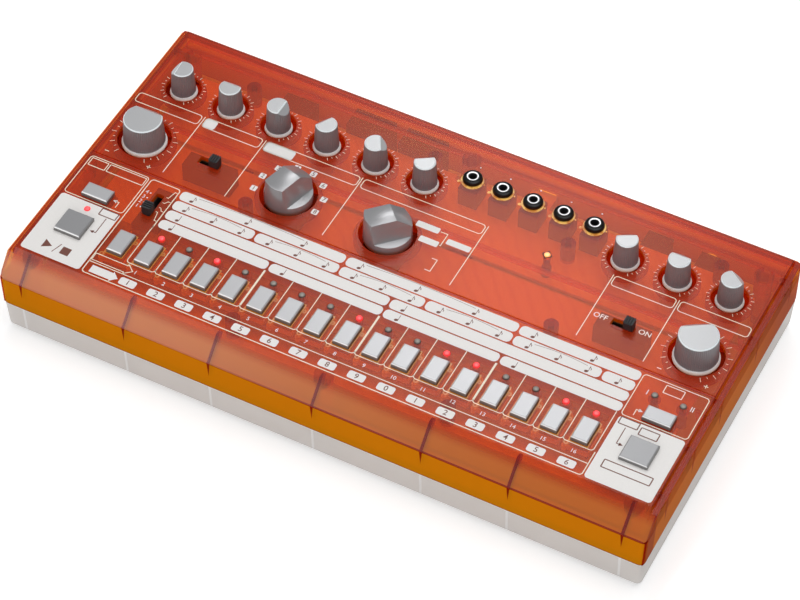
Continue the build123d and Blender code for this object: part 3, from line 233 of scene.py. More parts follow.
class Pattern(Nodes):
    """A geometry node tree that repeats a small part, with named sizes."""

    def __init__(self, name, **sizes):
        super().__init__(bpy.data.node_groups.new(name, "GeometryNodeTree"))
        for size, kind in sizes.items():
            self.tree.interface.new_socket(name=size, in_out="INPUT", socket_type="NodeSocket" + kind)
        self.tree.interface.new_socket(name="Geometry", in_out="OUTPUT", socket_type="NodeSocketGeometry")
        self.entry = self.tree.nodes.new("NodeGroupInput")

    def size(self, name):
        return Wire(self, self.entry.outputs[name])

    def vector(self, x, y, z):
        return self.add("ShaderNodeCombineXYZ", None, {0: x, 1: y, 2: z})

    def close(self, instances):
        real = self.add("GeometryNodeRealizeInstances", None, {"Geometry": instances})
        dressed = self.add("GeometryNodeSetMaterial", None, {"Geometry": real, "Material": self.size("Finish")})
        output = self.tree.nodes.new("NodeGroupOutput")
        self.tree.links.new(dressed.socket, output.inputs["Geometry"])

    def grow(self, **sizes):
        """Run the tree with its sizes set and keep the result as a plain mesh."""
        seed = bpy.data.objects.new(self.tree.name, bpy.data.meshes.new(self.tree.name))
        bpy.context.scene.collection.objects.link(seed)
        modifier = seed.modifiers.new("pattern", "NODES")
        modifier.node_group = self.tree
        for item in self.tree.interface.items_tree:
            if item.in_out == "INPUT":
                modifier[item.identifier] = sizes[item.name]
        bpy.context.view_layer.update()
        mesh = bpy.data.meshes.new_from_object(seed.evaluated_get(bpy.context.evaluated_depsgraph_get()))
        bpy.data.objects.remove(seed)
        return mesh


# Chips and round capacitors crowd the underside of the two upper boards.
CHIP = Matrix.Diagonal((6.0, 4.0, 1.6, 1.0))
LEG = Matrix.Diagonal((0.35, 0.9, 0.9, 1.0))
LEG_PITCH = 0.8
PARTS_APART = 8.5
PARTS_WIDE = 236.0
chip = bmesh.new()
bmesh.ops.create_cube(chip, size=1.0, matrix=CHIP)
bmesh.ops.bevel(chip, geom=chip.edges[:], offset=0.25, segments=1, affect="EDGES")
for side in (-1, 1):
    for i in range(7):
        place = Matrix.Translation(((i - 3) * LEG_PITCH, side * 2.35, 0.35))
        bmesh.ops.create_cube(chip, size=1.0, matrix=place @ LEG)
drum = bmesh.new()
bmesh.ops.create_cone(drum, segments=20, radius1=1.9, radius2=1.9, depth=2.2, cap_ends=True)
bmesh.ops.bevel(drum, geom=drum.edges[:], offset=0.2, segments=2, affect="EDGES")
scatter = Pattern("board parts", Wide="Float", Deep="Float", Density="Float", Seed="Int", Part="Object",
                  Finish="Material")
sheet = scatter.add("GeometryNodeMeshGrid", None, {
    "Size X": scatter.size("Wide"), "Size Y": scatter.size("Deep"), "Vertices X": 2, "Vertices Y": 2})
places = scatter.add("GeometryNodeDistributePointsOnFaces", {"distribute_method": "POISSON"}, {
    "Mesh": sheet, "Distance Min": PARTS_APART, "Density Max": scatter.size("Density"), "Seed": scatter.size("Seed")})
part = scatter.add("GeometryNodeObjectInfo", None, {"Object": scatter.size("Part")}, "Geometry")
quarter = scatter.add("FunctionNodeRandomValue", {"data_type": "INT"}, {
    "Min": 0, "Max": 3, "Seed": scatter.size("Seed")}, 2)
scatter.close(scatter.add("GeometryNodeInstanceOnPoints", None, {
    "Points": places, "Instance": part, "Rotation": scatter.vector(0.0, 0.0, quarter * (math.pi / 2))}))
for name, form, finish, density, seed, z in (("board_chips", chip, black_plastic, 0.02, 5, 28.6),
                                             ("board_capacitors", drum, zinc_steel, 0.006, 11, 28.3)):
    mesh = bpy.data.meshes.new(name)
    form.to_mesh(mesh)
    form.free()
    model = bpy.data.objects.new(name, mesh)
    bits = bmesh.new()
    for y, deep_by in ((-37.0, 36.0), (40.0, 28.0)):
        grown = scatter.grow(Wide=PARTS_WIDE, Deep=deep_by, Density=density, Seed=seed, Part=model, Finish=finish)
        grown.transform(Matrix.Translation((0.0, y, z)))
        bits.from_mesh(grown)
        bpy.data.meshes.remove(grown)
    bpy.data.objects.remove(model)
    as_piece(bits, name, finish, "board", "case")


# ------------------------------------------------------------------ upper shell
# The top half is one injection moulding in clear orange plastic: a raised deck full of windows, a
# sloping nose, drafted walls, and gussets and screw bosses that show through, their darker shapes painted shade.
orange = Finish("clear orange moulding")
haze = orange.noise(14.0)
x_mm, y_mm, z_mm = (orange.axis(name) * TO_MM for name in "XYZ")
on_slope = orange.between(z_mm, 31.5, 33.5)
on_deck = orange.between(z_mm, 37.5, 42.0)
faces_up = orange.between(orange.facing("Z"), 0.3, 0.6)
faces_side = orange.between(abs(orange.facing("X")), 0.5, 0.8)
# Painted light and shade: the one orange plastic is red on the deck, orange on the slope, amber on the wall, and
# darker towards the rear on the sides.
deck_colour = orange.blend(haze, (0.94, 0.088, 0.016, 1.0), (0.98, 0.108, 0.018, 1.0))
slope_colour = orange.blend(haze, (0.92, 0.24, 0.008, 1.0), (0.95, 0.27, 0.009, 1.0))
wall_colour = orange.blend(haze, (0.87, 0.30, 0.004, 1.0), (0.92, 0.33, 0.005, 1.0))
rear_shade = orange.between(y_mm, 5.0, 78.0)
side_colour = orange.blend(rear_shade, (0.86, 0.22, 0.010, 1.0), (0.62, 0.085, 0.012, 1.0))
moulding_colour = orange.blend(on_deck, orange.blend(on_slope, wall_colour, slope_colour), deck_colour)
moulding_colour = orange.blend(faces_side, moulding_colour, side_colour)

# Painted shade: dark wedges where the gussets meet the nose and the sides, and dark lines along the crease, the side
# corners, the deck rim and the foot, the crease line stronger to the right. Painted highlight: the rims of the key
# windows are lit amber.
FRONT = -82.5
REAR = 79.2
SIDE = 151.9
DECK_FRONT = -72.0
DECK_REAR = 76.0
DECK_UNDER = 41.4
SPLIT = 17.0
CREASE = 32.4
GUSSET_FOOT = 24.0
SIDE_GUSSETS = (-63.0, -36.0, -8.0, 30.0, 66.0)
CELL = 13.72
FIRST_CELL = 46.4
KEY_U = 6.8
KEY_V = 21.9
KEY_HALF_U = 3.7
KEY_HALF_V = 6.25
GUSSET_TAPER = 0.09
wedge = (z_mm - GUSSET_FOOT) * GUSSET_TAPER
shade_mask = 0.0
for u in GUSSETS:
    off_axis = abs(x_mm - (u - HALF_DECK))
    shade_mask = orange.between(orange.maths("MINIMUM", wedge, 0.75) - off_axis, -0.1, 0.15) + shade_mask
shade_mask = shade_mask * orange.between(y_mm, DECK_FRONT - 0.6, DECK_FRONT - 0.2, 1.0, 0.0)
across = abs(x_mm)
beside = 0.0
for y in SIDE_GUSSETS:
    off_axis = abs(y_mm - y)
    beside = orange.between(orange.maths("MINIMUM", wedge, 1.1) - off_axis, -0.1, 0.3) + beside
shade_mask = beside * faces_side + shade_mask
on_front = orange.between(y_mm, DECK_FRONT - 1.5, DECK_FRONT - 0.5, 1.0, 0.0)
crease = orange.between(abs(z_mm - CREASE), 0.3, 0.65, 1.0, 0.0) * on_front
crease = crease * orange.between(x_mm, -70.0, 10.0, 0.5, 1.6)
corner = orange.between(across, SIDE - 0.3, SIDE) * on_front
deck_rim = orange.maths("MAXIMUM", across - HALF_DECK, y_mm - DECK_REAR)
deck_rim = orange.between(abs(deck_rim), 0.25, 0.6, 1.0, 0.0) * on_deck
foot_rim = orange.between(z_mm, SPLIT + 0.35, SPLIT + 0.7, 1.0, 0.0)
shade_mask = shade_mask + (crease + corner + deck_rim + foot_rim) * 0.6
along = x_mm + (HALF_DECK - FIRST_CELL + CELL)
in_row = orange.between(along, 0.0, 0.1) * orange.between(along, CELL * 16.9, CELL * 17.0, 1.0, 0.0)
cell_u = along % CELL
cell_v = y_mm + (-DECK_FRONT - KEY_V)
off_u = abs(cell_u - KEY_U) - KEY_HALF_U
off_v = abs(cell_v) - KEY_HALF_V
past_edge = orange.maths("MAXIMUM", off_u, off_v)
lit_rim = orange.between(past_edge, 0.1, 0.3) - orange.between(past_edge, 0.75, 0.95)
# Painted highlight: two small amber glints beside each key window.
for ear_u, ear_v, inner, outer in ((12.0, 3.4, 0.0, 1.0), (2.0, -8.1, 0.12, 1.1)):
    reach_u, reach_v = cell_u - ear_u, cell_v - ear_v
    reach = reach_u * reach_u + reach_v * reach_v
    ear_glint = orange.between(reach, inner, inner + 0.2) * orange.between(reach, outer, outer + 0.4, 1.0, 0.0)
    lit_rim = orange.maths("MAXIMUM", lit_rim, ear_glint * 0.8)
lit_rim = lit_rim * in_row * on_deck
# Painted shade darkens the moulding to a dark red, and the painted highlight turns the key window rims amber.
shaded_colour = orange.blend(shade_mask, moulding_colour, (0.34, 0.020, 0.006, 1.0))
orange_shell = orange.done(see_through(
    orange, tint=(0.97, 0.58, 0.08, 1.0), solidity=0.64 - on_slope * 0.26 - on_deck * 0.18 + lit_rim * 0.35,
    colour=orange.blend(lit_rim * 0.9, shaded_colour, (0.80, 0.36, 0.015, 1.0)), coat=faces_up * on_slope))
paint(orange_shell, "upper_case")


def spot(u, v):
    """Place in the shared frame, in millimetres, of a point measured from the deck's front left corner."""
    return u - HALF_DECK, v + DECK_FRONT


def oblong(a0, b0, a1, b1):
    """Corners of an upright rectangle."""
    return [(a0, b0), (a1, b0), (a1, b1), (a0, b1)]


def prism(form, outline, shift):
    """Straight bar between a flat outline and its copy moved by a shift."""
    near = [form.verts.new(point) for point in outline]
    far = [form.verts.new(Vector(point) + Vector(shift)) for point in outline]
    form.faces.new(list(reversed(near)))
    form.faces.new(far)
    for i in range(len(outline)):
        j = (i + 1) % len(outline)
        form.faces.new((near[i], near[j], far[j], far[i]))


def bead(form, points, radius):
    """Round bar that follows a path."""
    curve = bpy.data.curves.new("bead", "CURVE")
    curve.dimensions = "3D"
    curve.bevel_depth = radius
    curve.bevel_resolution = 2
    curve.use_fill_caps = True
    path = curve.splines.new("POLY")
    path.points.add(len(points) - 1)
    for knot, point in zip(path.points, points):
        knot.co = (*point, 1.0)
    source = bpy.data.objects.new("bead", curve)
    mesh = bpy.data.meshes.new_from_object(source)
    form.from_mesh(mesh)
    bpy.data.objects.remove(source)
    bpy.data.curves.remove(curve)
    bpy.data.meshes.remove(mesh)


# Ribs, rims, collars and corners, where the plastic is seen edge on, get this darker copy of the orange plastic: deep
# red painted shade.
deep = Finish("deep red moulding")
deep_haze = deep.noise(40.0)
shaded_orange = deep.done(see_through(
    deep, tint=(0.86, 0.26, 0.05, 1.0), solidity=0.26,
    colour=deep.blend(deep_haze, (0.30, 0.022, 0.006, 1.0), (0.38, 0.032, 0.008, 1.0)), coat=0.0))

# Painted shade: dark red fins round the gussets of the nose and the sides.
FIN_T = 1.6
SHOULDER = 41.2
NOSE_FIN = ((FRONT + 1.0, GUSSET_FOOT), (FRONT + 1.0, CREASE - 0.4), (DECK_FRONT - 1.4, DECK_UNDER + 0.4),
            (DECK_FRONT + 1.5, DECK_UNDER), (FRONT + 3.7, GUSSET_FOOT))
SIDE_FIN = ((151.3, GUSSET_FOOT), (151.3, SHOULDER - 0.6), (147.6, SHOULDER - 0.6), (150.2, GUSSET_FOOT))
fin_shades = bmesh.new()
for u in GUSSETS:
    x = spot(u, 0.0)[0] - FIN_T / 2
    prism(fin_shades, [(x, y, z) for y, z in NOSE_FIN], (FIN_T, 0.0, 0.0))
for side in (-1, 1):
    for y in SIDE_GUSSETS:
        prism(fin_shades, [(side * x, y - FIN_T / 2, z) for x, z in SIDE_FIN], (0.0, FIN_T, 0.0))
as_piece(fin_shades, "gusset_cores", shaded_orange, "case_orange", "case")

FOOT_SIDE = 151.5
FOOT_RIM = SPLIT + 0.35
RIM_SIDE = 149.1
RIM_REAR = 75.6
RIM_TOP = 43.2
LEDGE_LOW = 38.4
LEDGE_HIGH = 40.9
LEDGE_HALF = 151.0
# Painted shade: dark red beads along the crease, shoulders, deck rim and split, and ledges under the deck edges.
rims = bmesh.new()
for side in (-1, 1):
    bead(rims, [(side * FOOT_SIDE, FRONT + 0.8, SPLIT + 0.5), (side * SIDE, FRONT + 0.7, CREASE),
                (side * SIDE, DECK_FRONT - 0.6, SHOULDER), (side * SIDE, REAR - 2.2, SHOULDER)], 0.4)
    bead(rims, [(side * RIM_SIDE, DECK_FRONT + 0.6, RIM_TOP), (side * RIM_SIDE, RIM_REAR, RIM_TOP)], 0.3)
    bead(rims, [(side * FOOT_SIDE, FRONT + 0.8, FOOT_RIM), (side * FOOT_SIDE, REAR - 0.8, FOOT_RIM),
                (side * SIDE, REAR - 2.2, SHOULDER)], 0.3)
for y, z, half, radius in ((FRONT + 0.5, CREASE - 0.1, SIDE, 0.32), (FRONT + 0.6, FOOT_RIM, FOOT_SIDE, 0.3),
                           (REAR - 0.6, FOOT_RIM, FOOT_SIDE, 0.3), (REAR - 2.2, SHOULDER, SIDE, 0.35),
                           (RIM_REAR, RIM_TOP, RIM_SIDE, 0.3)):
    bead(rims, [(-half, y, z), (half, y, z)], radius)
for side in (-1, 1):
    prism(rims, [(side * x, DECK_FRONT, z) for x, z in oblong(149.9, LEDGE_LOW, 151.4, LEDGE_HIGH)],
          (0.0, REAR - 2.6 - DECK_FRONT, 0.0))
prism(rims, [(-LEDGE_HALF, y, z) for y, z in oblong(RIM_REAR + 0.6, LEDGE_LOW, RIM_REAR + 2.0, LEDGE_HIGH)],
      (2 * LEDGE_HALF, 0.0, 0.0))
as_piece(rims, "rim_shades", shaded_orange, "case_orange", "case")


def ring_of(profile, around, form, at):
    """Turned ring whose outline closes on itself."""
    loops = []
    for step in range(around):
        angle = 2 * math.pi * step / around
        loops.append([form.verts.new((at[0] + r * math.cos(angle), at[1] + r * math.sin(angle), z))
                      for r, z in profile])
    for step in range(around):
        here, after = loops[step], loops[(step + 1) % around]
        for i in range(len(profile)):
            j = (i + 1) % len(profile)
            form.faces.new((here[i], after[i], after[j], here[j]))


# Each knob has its place on the deck and the way it faces, in degrees from the right.
SMALL_V = 115.4
SMALL_PITCH = 24.28
LARGE_V = 80.9
LAMP_V = 32.8
small_spots = {}
for first, row in ((16.4, {"accent": 185.0, "bass_drum": 90.0, "snare_drum": 0.0, "tom": 150.0, "cymbal": 29.0,
                           "hi_hat": 123.0}), (234.2, {"distortion": 119.0, "tone": 90.0, "level": 54.0})):
    for i, (name, facing) in enumerate(row.items()):
        small_spots[name] = (first + SMALL_PITCH * i, SMALL_V, facing)
large_spots = {"tempo": (16.3, LARGE_V, 90.0), "volume": (282.6, LARGE_V, 122.0)}
selector_spots = {"instrument": (88.95, LARGE_V, 75.0), "mode": (137.6, LARGE_V, 45.0)}
step_spots = {i: (53.2 + CELL * (i - 1), LAMP_V) for i in range(1, 17)}
START_LAMP = (16.0, LAMP_V)
GROUP_LAMPS = [(276.3, 52.6), (289.1, 52.6)]
BOSSES = ((73.6, 69.8), (221.3, 69.0), (101.0, 9.9), (202.5, 9.9), (43.0, 132.6), (134.3, 132.6), (208.2, 113.7),
          (271.8, 132.6))

# Every well, lamp hole and screw boss hangs under the deck as a round collar in the darker red, painted shade, and a
# dark strip under the seam groove across the deck is painted shade too.
WELL_FLOOR = 39.0
WELL_WALL = 1.9
WELL_SHEET = 0.6
COLLAR_TOP = 41.3
SEAM_Y = spot(0.0, 63.5)[1]
wells = bmesh.new()
for spots, neck, hole in ((small_spots, 4.8, 8.4), (large_spots, 4.8, 12.4), (selector_spots, 5.6, 13.1)):
    cup = [(neck, WELL_FLOOR), (hole + WELL_WALL, WELL_FLOOR), (hole + WELL_WALL, COLLAR_TOP), (hole, COLLAR_TOP),
           (hole, WELL_FLOOR + WELL_SHEET), (neck, WELL_FLOOR + WELL_SHEET)]
    for u, v, _ in spots.values():
        ring_of(cup, 64, wells, spot(u, v))
for u, v in [*step_spots.values(), START_LAMP, *GROUP_LAMPS]:
    ring_of(oblong(1.75, 40.2, 2.7, COLLAR_TOP), 24, wells, spot(u, v))
for u, v in BOSSES:
    ring_of(oblong(1.3, 33.0, 3.3, COLLAR_TOP), 24, wells, spot(u, v))
prism(wells, [(-RIM_SIDE, y, z) for y, z in oblong(SEAM_Y - 0.4, 42.4, SEAM_Y + 0.4, 43.1)], (2 * RIM_SIDE, 0.0, 0.0))
as_piece(wells, "well_collars", shaded_orange, "case_orange", "case")


# ------------------------------------------------------------------ knobs
# Eleven ribbed knobs press onto the flats of their spindles. They are moulded, then sprayed silver, with a
# flared skirt, painted bright as a highlight, that turns in a well in the deck and a slanting facet in place of a
# pointer.
KNOB_FOOT = 41.2
KNOB_CROWN = 56.0
SHAFT_FOOT = 33.4


def turned(profile, around, form=None, at=(0.0, 0.0), flute=0.0, flute_rows=(), crests=1):
    """Closed turned shape, with ribs of a given depth over some rows of its outline."""
    form = form or bmesh.new()
    rings = []
    for row, (radius, z) in enumerate(profile):
        ring = []
        for step in range(around):
            phase = (step + 0.5) * crests / around % 1.0
            reach = radius + (flute if row in flute_rows and 0.3 < phase < 0.8 else 0.0)
            angle = 2 * math.pi * step / around
            ring.append(form.verts.new((at[0] + reach * math.cos(angle), at[1] + reach * math.sin(angle), z)))
        rings.append(ring)
    for low, high in zip(rings, rings[1:]):
        for step in range(around):
            after = (step + 1) % around
            form.faces.new((low[step], low[after], high[after], high[step]))
    form.faces.new(list(reversed(rings[0])))
    form.faces.new(rings[-1])
    return form


def slice_off(form, point, normal):
    """Cut a shape along a plane, drop what lies in front of it and close the cut."""
    every = form.verts[:] + form.edges[:] + form.faces[:]
    cut = bmesh.ops.bisect_plane(form, geom=every, plane_co=point, plane_no=normal, clear_outer=True)
    rim = [part for part in cut["geom_cut"] if isinstance(part, bmesh.types.BMEdge)]
    bmesh.ops.holes_fill(form, edges=rim, sides=0)


# Skirt, crown and upper edge are told apart by their height, here in metres, and by the way they face. The ribbed
# sides are painted dark as shade, the crown a lighter grey as lit, and the skirt and upper edge near white as painted
# highlights.
silver = Finish("satin silver paint")
fleck = silver.noise(2600.0, 1.0)
knob_height = silver.axis("Z")
skirt = silver.between(knob_height, 0.0428, 0.0430, 1.0, 0.0)
knob_up = silver.facing("Z")
crown = silver.between(knob_up, 0.4, 0.6)
lit_faces = skirt + crown
edge = silver.between(knob_height, 0.05545, 0.05555) * silver.between(knob_up, 0.8, 0.9, 1.0, 0.0)
silver_colour = silver.blend(lit_faces, (0.27, 0.31, 0.33, 1.0), silver.blend(
    skirt + edge, (0.46, 0.465, 0.475, 1.0), (0.90, 0.98, 1.0, 1.0)))
silver_paint = silver.done(silver.body(
    Base_Color=silver.blend(fleck * 0.15, silver_colour, (0.62, 0.63, 0.65, 1.0)),
    Metallic=0.4 - (skirt + edge) * 0.4, Roughness=0.3))

SMALL_KNOB = [(6.1, KNOB_FOOT), (6.3, 41.35), (6.3, 41.75), (6.2, 41.95), (5.48, 42.85), (5.44, 43.2), (4.72, 55.4),
              (4.84, 55.5), (4.45, KNOB_CROWN)]
LARGE_KNOB = [(10.0, KNOB_FOOT), (10.2, 41.35), (10.2, 41.85), (10.1, 42.05), (9.26, 43.1), (9.22, 43.4),
              (8.52, 55.4), (8.66, 55.5), (8.2, KNOB_CROWN)]
RIBBED_ROWS = (5, 6)
RIB_DEPTH = 0.2
SHAFT = [(2.7, SHAFT_FOOT), (3.0, SHAFT_FOOT + 0.3), (3.0, KNOB_FOOT + 1.0)]
for spots, outline, crests, facet in ((small_spots, SMALL_KNOB, 40, 1.8), (large_spots, LARGE_KNOB, 66, 5.0)):
    for name, (u, v, facing) in spots.items():
        knob = turned(outline, crests * 4, flute=RIB_DEPTH, flute_rows=RIBBED_ROWS, crests=crests)
        slice_off(knob, (0, facet, KNOB_CROWN), (0, 1, 1))
        turned(SHAFT, 32, form=knob)
        as_piece(knob, name + "_knob", silver_paint, "knob_grey", "knob_" + name, "knob_" + name,
                 at=spot(u, v), facing=facing - 90.0)


# ------------------------------------------------------------------ selectors
# Two larger knobs click round. Each is a drum with its sides scooped away to a bar, and the bar slopes
# down to a nose that points at the chosen mark. They are sprayed like the others.
BLANK_HALF = 12.0
DRUM_R = 10.9
DRUM_TOP = 45.6
DRUM_CUTS = 96
DRAFT = 0.6 / 14.8
BAR_HALF = 5.1
BAR_SWELL = 1.8
SCOOP_STEPS = 10
NOSE_SLOPE = math.radians(38.0)
NOSE_START = 2.4


def selector(name, u, v, facing):
    """Prism with the bar's outline, trimmed to the drum by many planes and then to its nose."""
    side = [(BLANK_HALF, KNOB_FOOT), (BLANK_HALF, DRUM_TOP)]
    for step in range(SCOOP_STEPS + 1):
        rise = step / SCOOP_STEPS
        side.append((BAR_HALF + BAR_SWELL * (1 - rise) ** 2.2, DRUM_TOP + (KNOB_CROWN - DRUM_TOP) * rise))
    outline = side + [(-x, z) for x, z in reversed(side)]
    form = bmesh.new()
    prism(form, [(x, -BLANK_HALF, z) for x, z in outline], (0.0, 2 * BLANK_HALF, 0.0))
    bmesh.ops.recalc_face_normals(form, faces=form.faces)
    for step in range(DRUM_CUTS):
        angle = 2 * math.pi * step / DRUM_CUTS
        normal = (math.cos(angle), math.sin(angle), DRAFT)
        slice_off(form, (DRUM_R * normal[0], DRUM_R * normal[1], KNOB_FOOT), normal)
    slice_off(form, (0, NOSE_START, KNOB_CROWN), (0, math.sin(NOSE_SLOPE), math.cos(NOSE_SLOPE)))
    bmesh.ops.dissolve_limit(form, angle_limit=math.radians(0.5), verts=form.verts, edges=form.edges)
    sharp = [edge for edge in form.edges if edge.is_manifold and edge.calc_face_angle() > math.radians(28)]
    bmesh.ops.bevel(form, geom=sharp, offset=0.28, segments=2, profile=0.5, affect="EDGES", clamp_overlap=True)
    turned(SHAFT, 32, form=form)
    as_piece(form, name + "_selector", selector_paint, "knob_grey", "knob_" + name, "knob_" + name,
             at=spot(u, v), facing=facing - 90.0, smooth=24.0)


polish = Finish("polished silver paint")
gleam = polish.noise(2600.0, 1.0)
selector_paint = polish.done(polish.body(
    Base_Color=polish.blend(gleam * 0.2, (0.34, 0.34, 0.35, 1.0), (0.45, 0.45, 0.46, 1.0)),
    Metallic=0.4, Roughness=0.26))
for name, (u, v, facing) in selector_spots.items():
    selector(name, u, v, facing)


# ------------------------------------------------------------------ push buttons
# Twenty-one keys stand just proud of their windows. Each is a moulded cap with a flat top, a crisp
# chamfer and a stem that presses the switch on the board under it.
def key_finish(name, grey):
    """Sprayed key: sides painted dark as shade, a grey top, and a front chamfer painted near white as a highlight."""
    keycap = Finish(name)
    fleck = keycap.noise(2400.0, 1.0)
    height = keycap.axis("Z")
    front = keycap.between(keycap.facing("Y"), -0.8, -0.4, 1.0, 0.0)
    chamfer_glint = keycap.between(height, 0.0456, 0.0458, 1.0, 0.0) * front
    top = keycap.between(height, 0.0452, 0.0454)
    plain = keycap.blend(top, (0.16, 0.15, 0.145, 1.0), (grey, grey, grey * 1.03, 1.0))
    colour = keycap.blend(top * chamfer_glint, plain, (0.98, 0.98, 0.98, 1.0))
    return keycap.done(keycap.body(
        Base_Color=keycap.blend(fleck * 0.12, colour, (0.60, 0.61, 0.62, 1.0)),
        Metallic=0.3 - chamfer_glint * 0.3, Roughness=0.28))


steps = [f"step_button_{i:02d}" for i in range(1, 17)]
paint(key_finish("satin step key", 0.47), *steps, "function_button", "clear_button", "pattern_group_button")
paint(key_finish("satin square key", 0.29), "start_stop_button", "tap_button")
paint(black_plastic, "slide_kit", "slide_distortion", "slide_scale")


def slab(form, u0, v0, u1, v1, heights):
    """Upright block between two deck corners and two heights."""
    low, high = heights
    prism(form, [(*spot(u, v), low) for u, v in oblong(u0, v0, u1, v1)], (0.0, 0.0, high - low))


def mottled(name, scale, first, second, roughness):
    """Finish whose colour drifts between two shades."""
    finish = Finish(name)
    shade = finish.blend(finish.noise(scale), first, second)
    return finish.done(finish.body(Base_Color=shade, Roughness=roughness))


# A dark frame lies under the deck round the sixteen keys. Each key stands in a guide with two small rings, painted
# pale so that they show through the deck as amber glints: painted highlights.
FRAME_Z = (37.0, 38.0)
FRAME_V = (13.6, 38.2)
FRAME_BAR = 3.35
ROW_END = 267.0
GUIDE_Z = (38.4, 41.2)
GUIDE_T = 0.3
key_frame = bmesh.new()
guide_glints = bmesh.new()
for i in range(-1, 16):
    u0, u1 = FIRST_CELL + CELL * i, FIRST_CELL + CELL * (i + 1)
    middle = (u0 + u1) / 2 - 0.06
    slab(key_frame, u0 - FRAME_BAR, FRAME_V[0], u0 + FRAME_BAR, FRAME_V[1], FRAME_Z)
    for v0, v1 in ((FRAME_V[0], 16.2), (27.4, 30.2), (35.4, FRAME_V[1])):
        slab(key_frame, u0 + FRAME_BAR, v0, u1 - FRAME_BAR, v1, FRAME_Z)
    for side in (-1, 1):
        u, v = middle + side * 5.0, KEY_V + side * 7.5
        slab(guide_glints, u - GUIDE_T, KEY_V - 7.2, u + GUIDE_T, KEY_V + 7.2, GUIDE_Z)
        slab(guide_glints, middle - 4.7, v - GUIDE_T, middle + 4.7, v + GUIDE_T, GUIDE_Z)
    for bore, wall, around, u, v in ((0.45, 1.1, 16, -5.6, -8.0), (0.3, 1.0, 8, 5.9, 3.6)):
        ring_of(oblong(bore, GUIDE_Z[0], wall, GUIDE_Z[1]), around, guide_glints, spot(middle + u, KEY_V + v))
slab(key_frame, ROW_END - 1.1, FRAME_V[0], ROW_END + 1.0, FRAME_V[1], FRAME_Z)
frame_finish = Finish("dark key frame")
mottle = frame_finish.between(frame_finish.noise(260.0, 3.0), 0.35, 0.65)
frame_plastic = frame_finish.done(frame_finish.body(
    Base_Color=frame_finish.blend(mottle, (0.20, 0.17, 0.15, 1.0), (0.42, 0.36, 0.30, 1.0)), Roughness=0.5))
as_piece(key_frame, "key_frame", frame_plastic, "board", "case")
guide_glint_plastic = mottled("clear guides", 300.0, (0.86, 0.92, 0.80, 1.0), (0.95, 0.98, 0.86, 1.0), 0.3)
as_piece(guide_glints, "key_guides", guide_glint_plastic, "case_clear", "case")


# ------------------------------------------------------------------ lamps
# Round 3 mm lamps look out of the deck beside the keys. The lens is cast in red or amber resin on a
# flanged foot, and some are lit.
DECK = 43.6
AMBER_LAMP = (203.9, 101.3)
LAMP = [(2.1, 31.0), (2.2, 31.1), (2.2, 36.0), (1.9, 36.0), (1.9, 36.8), (1.5, 36.8), (1.5, 43.5), (1.42, 43.8),
        (1.2, 44.05), (0.85, 44.22), (0.4, 44.3), (0.1, 44.32)]
LAMP_FOOT = (0.10, 0.02, 0.012, 1.0)
LIT_STEPS = (1, 3, 8, 11, 12, 15, 16)


def lamp_finish(name, colour, crown, glow):
    """Cast resin that is dark in the foot, coloured in the lens and palest at the crown, which glows on lit lamps and
    is a painted highlight on dark ones.
    """
    resin = Finish(name)
    height = resin.axis("Z")
    lens = resin.blend(resin.between(height, 0.0438, 0.0442), colour, crown)
    above = resin.between(height, 0.0423, 0.0426)
    return resin.done(resin.body(
        Base_Color=resin.blend(above, LAMP_FOOT, lens), Roughness=0.3,
        Emission_Color=resin.blend(above, (0.0, 0.0, 0.0, 1.0), lens), Emission_Strength=glow))


def lamps(name, spots, finish, *nodes):
    """Lamps of one kind, each at its place on the deck."""
    form = bmesh.new()
    for u, v in spots:
        turned(LAMP, 24, form=form, at=spot(u, v))
    as_piece(form, name, finish, "lamp_red", "case", *nodes)


lit = [step_spots[i] for i in LIT_STEPS] + [START_LAMP]
dark = [place for i, place in step_spots.items() if i not in LIT_STEPS] + GROUP_LAMPS
lamps("lit_lamps", lit, lamp_finish(
    "lit red lens", (0.80, 0.03, 0.035, 1.0), (0.95, 0.09, 0.10, 1.0), 0.6), "indicator_lamps")
# Unlit lamps: the paler crown is a painted highlight.
lamps("dark_lamps", dark, lamp_finish("dark red lens", (0.10, 0.085, 0.075, 1.0), (0.30, 0.27, 0.24, 1.0), 0.0))
lamps("amber_lamp", [AMBER_LAMP], lamp_finish(
    "lit amber lens", (0.95, 0.28, 0.04, 1.0), (1.0, 0.50, 0.22, 1.0), 0.8))
lamp_seat = bmesh.new()
ring_of([(1.75, DECK), (2.5, DECK), (2.3, DECK + 0.25), (1.85, DECK + 0.25)], 4, lamp_seat, spot(*AMBER_LAMP))
as_piece(lamp_seat, "amber_lamp_seat", black_plastic, "board", "case")


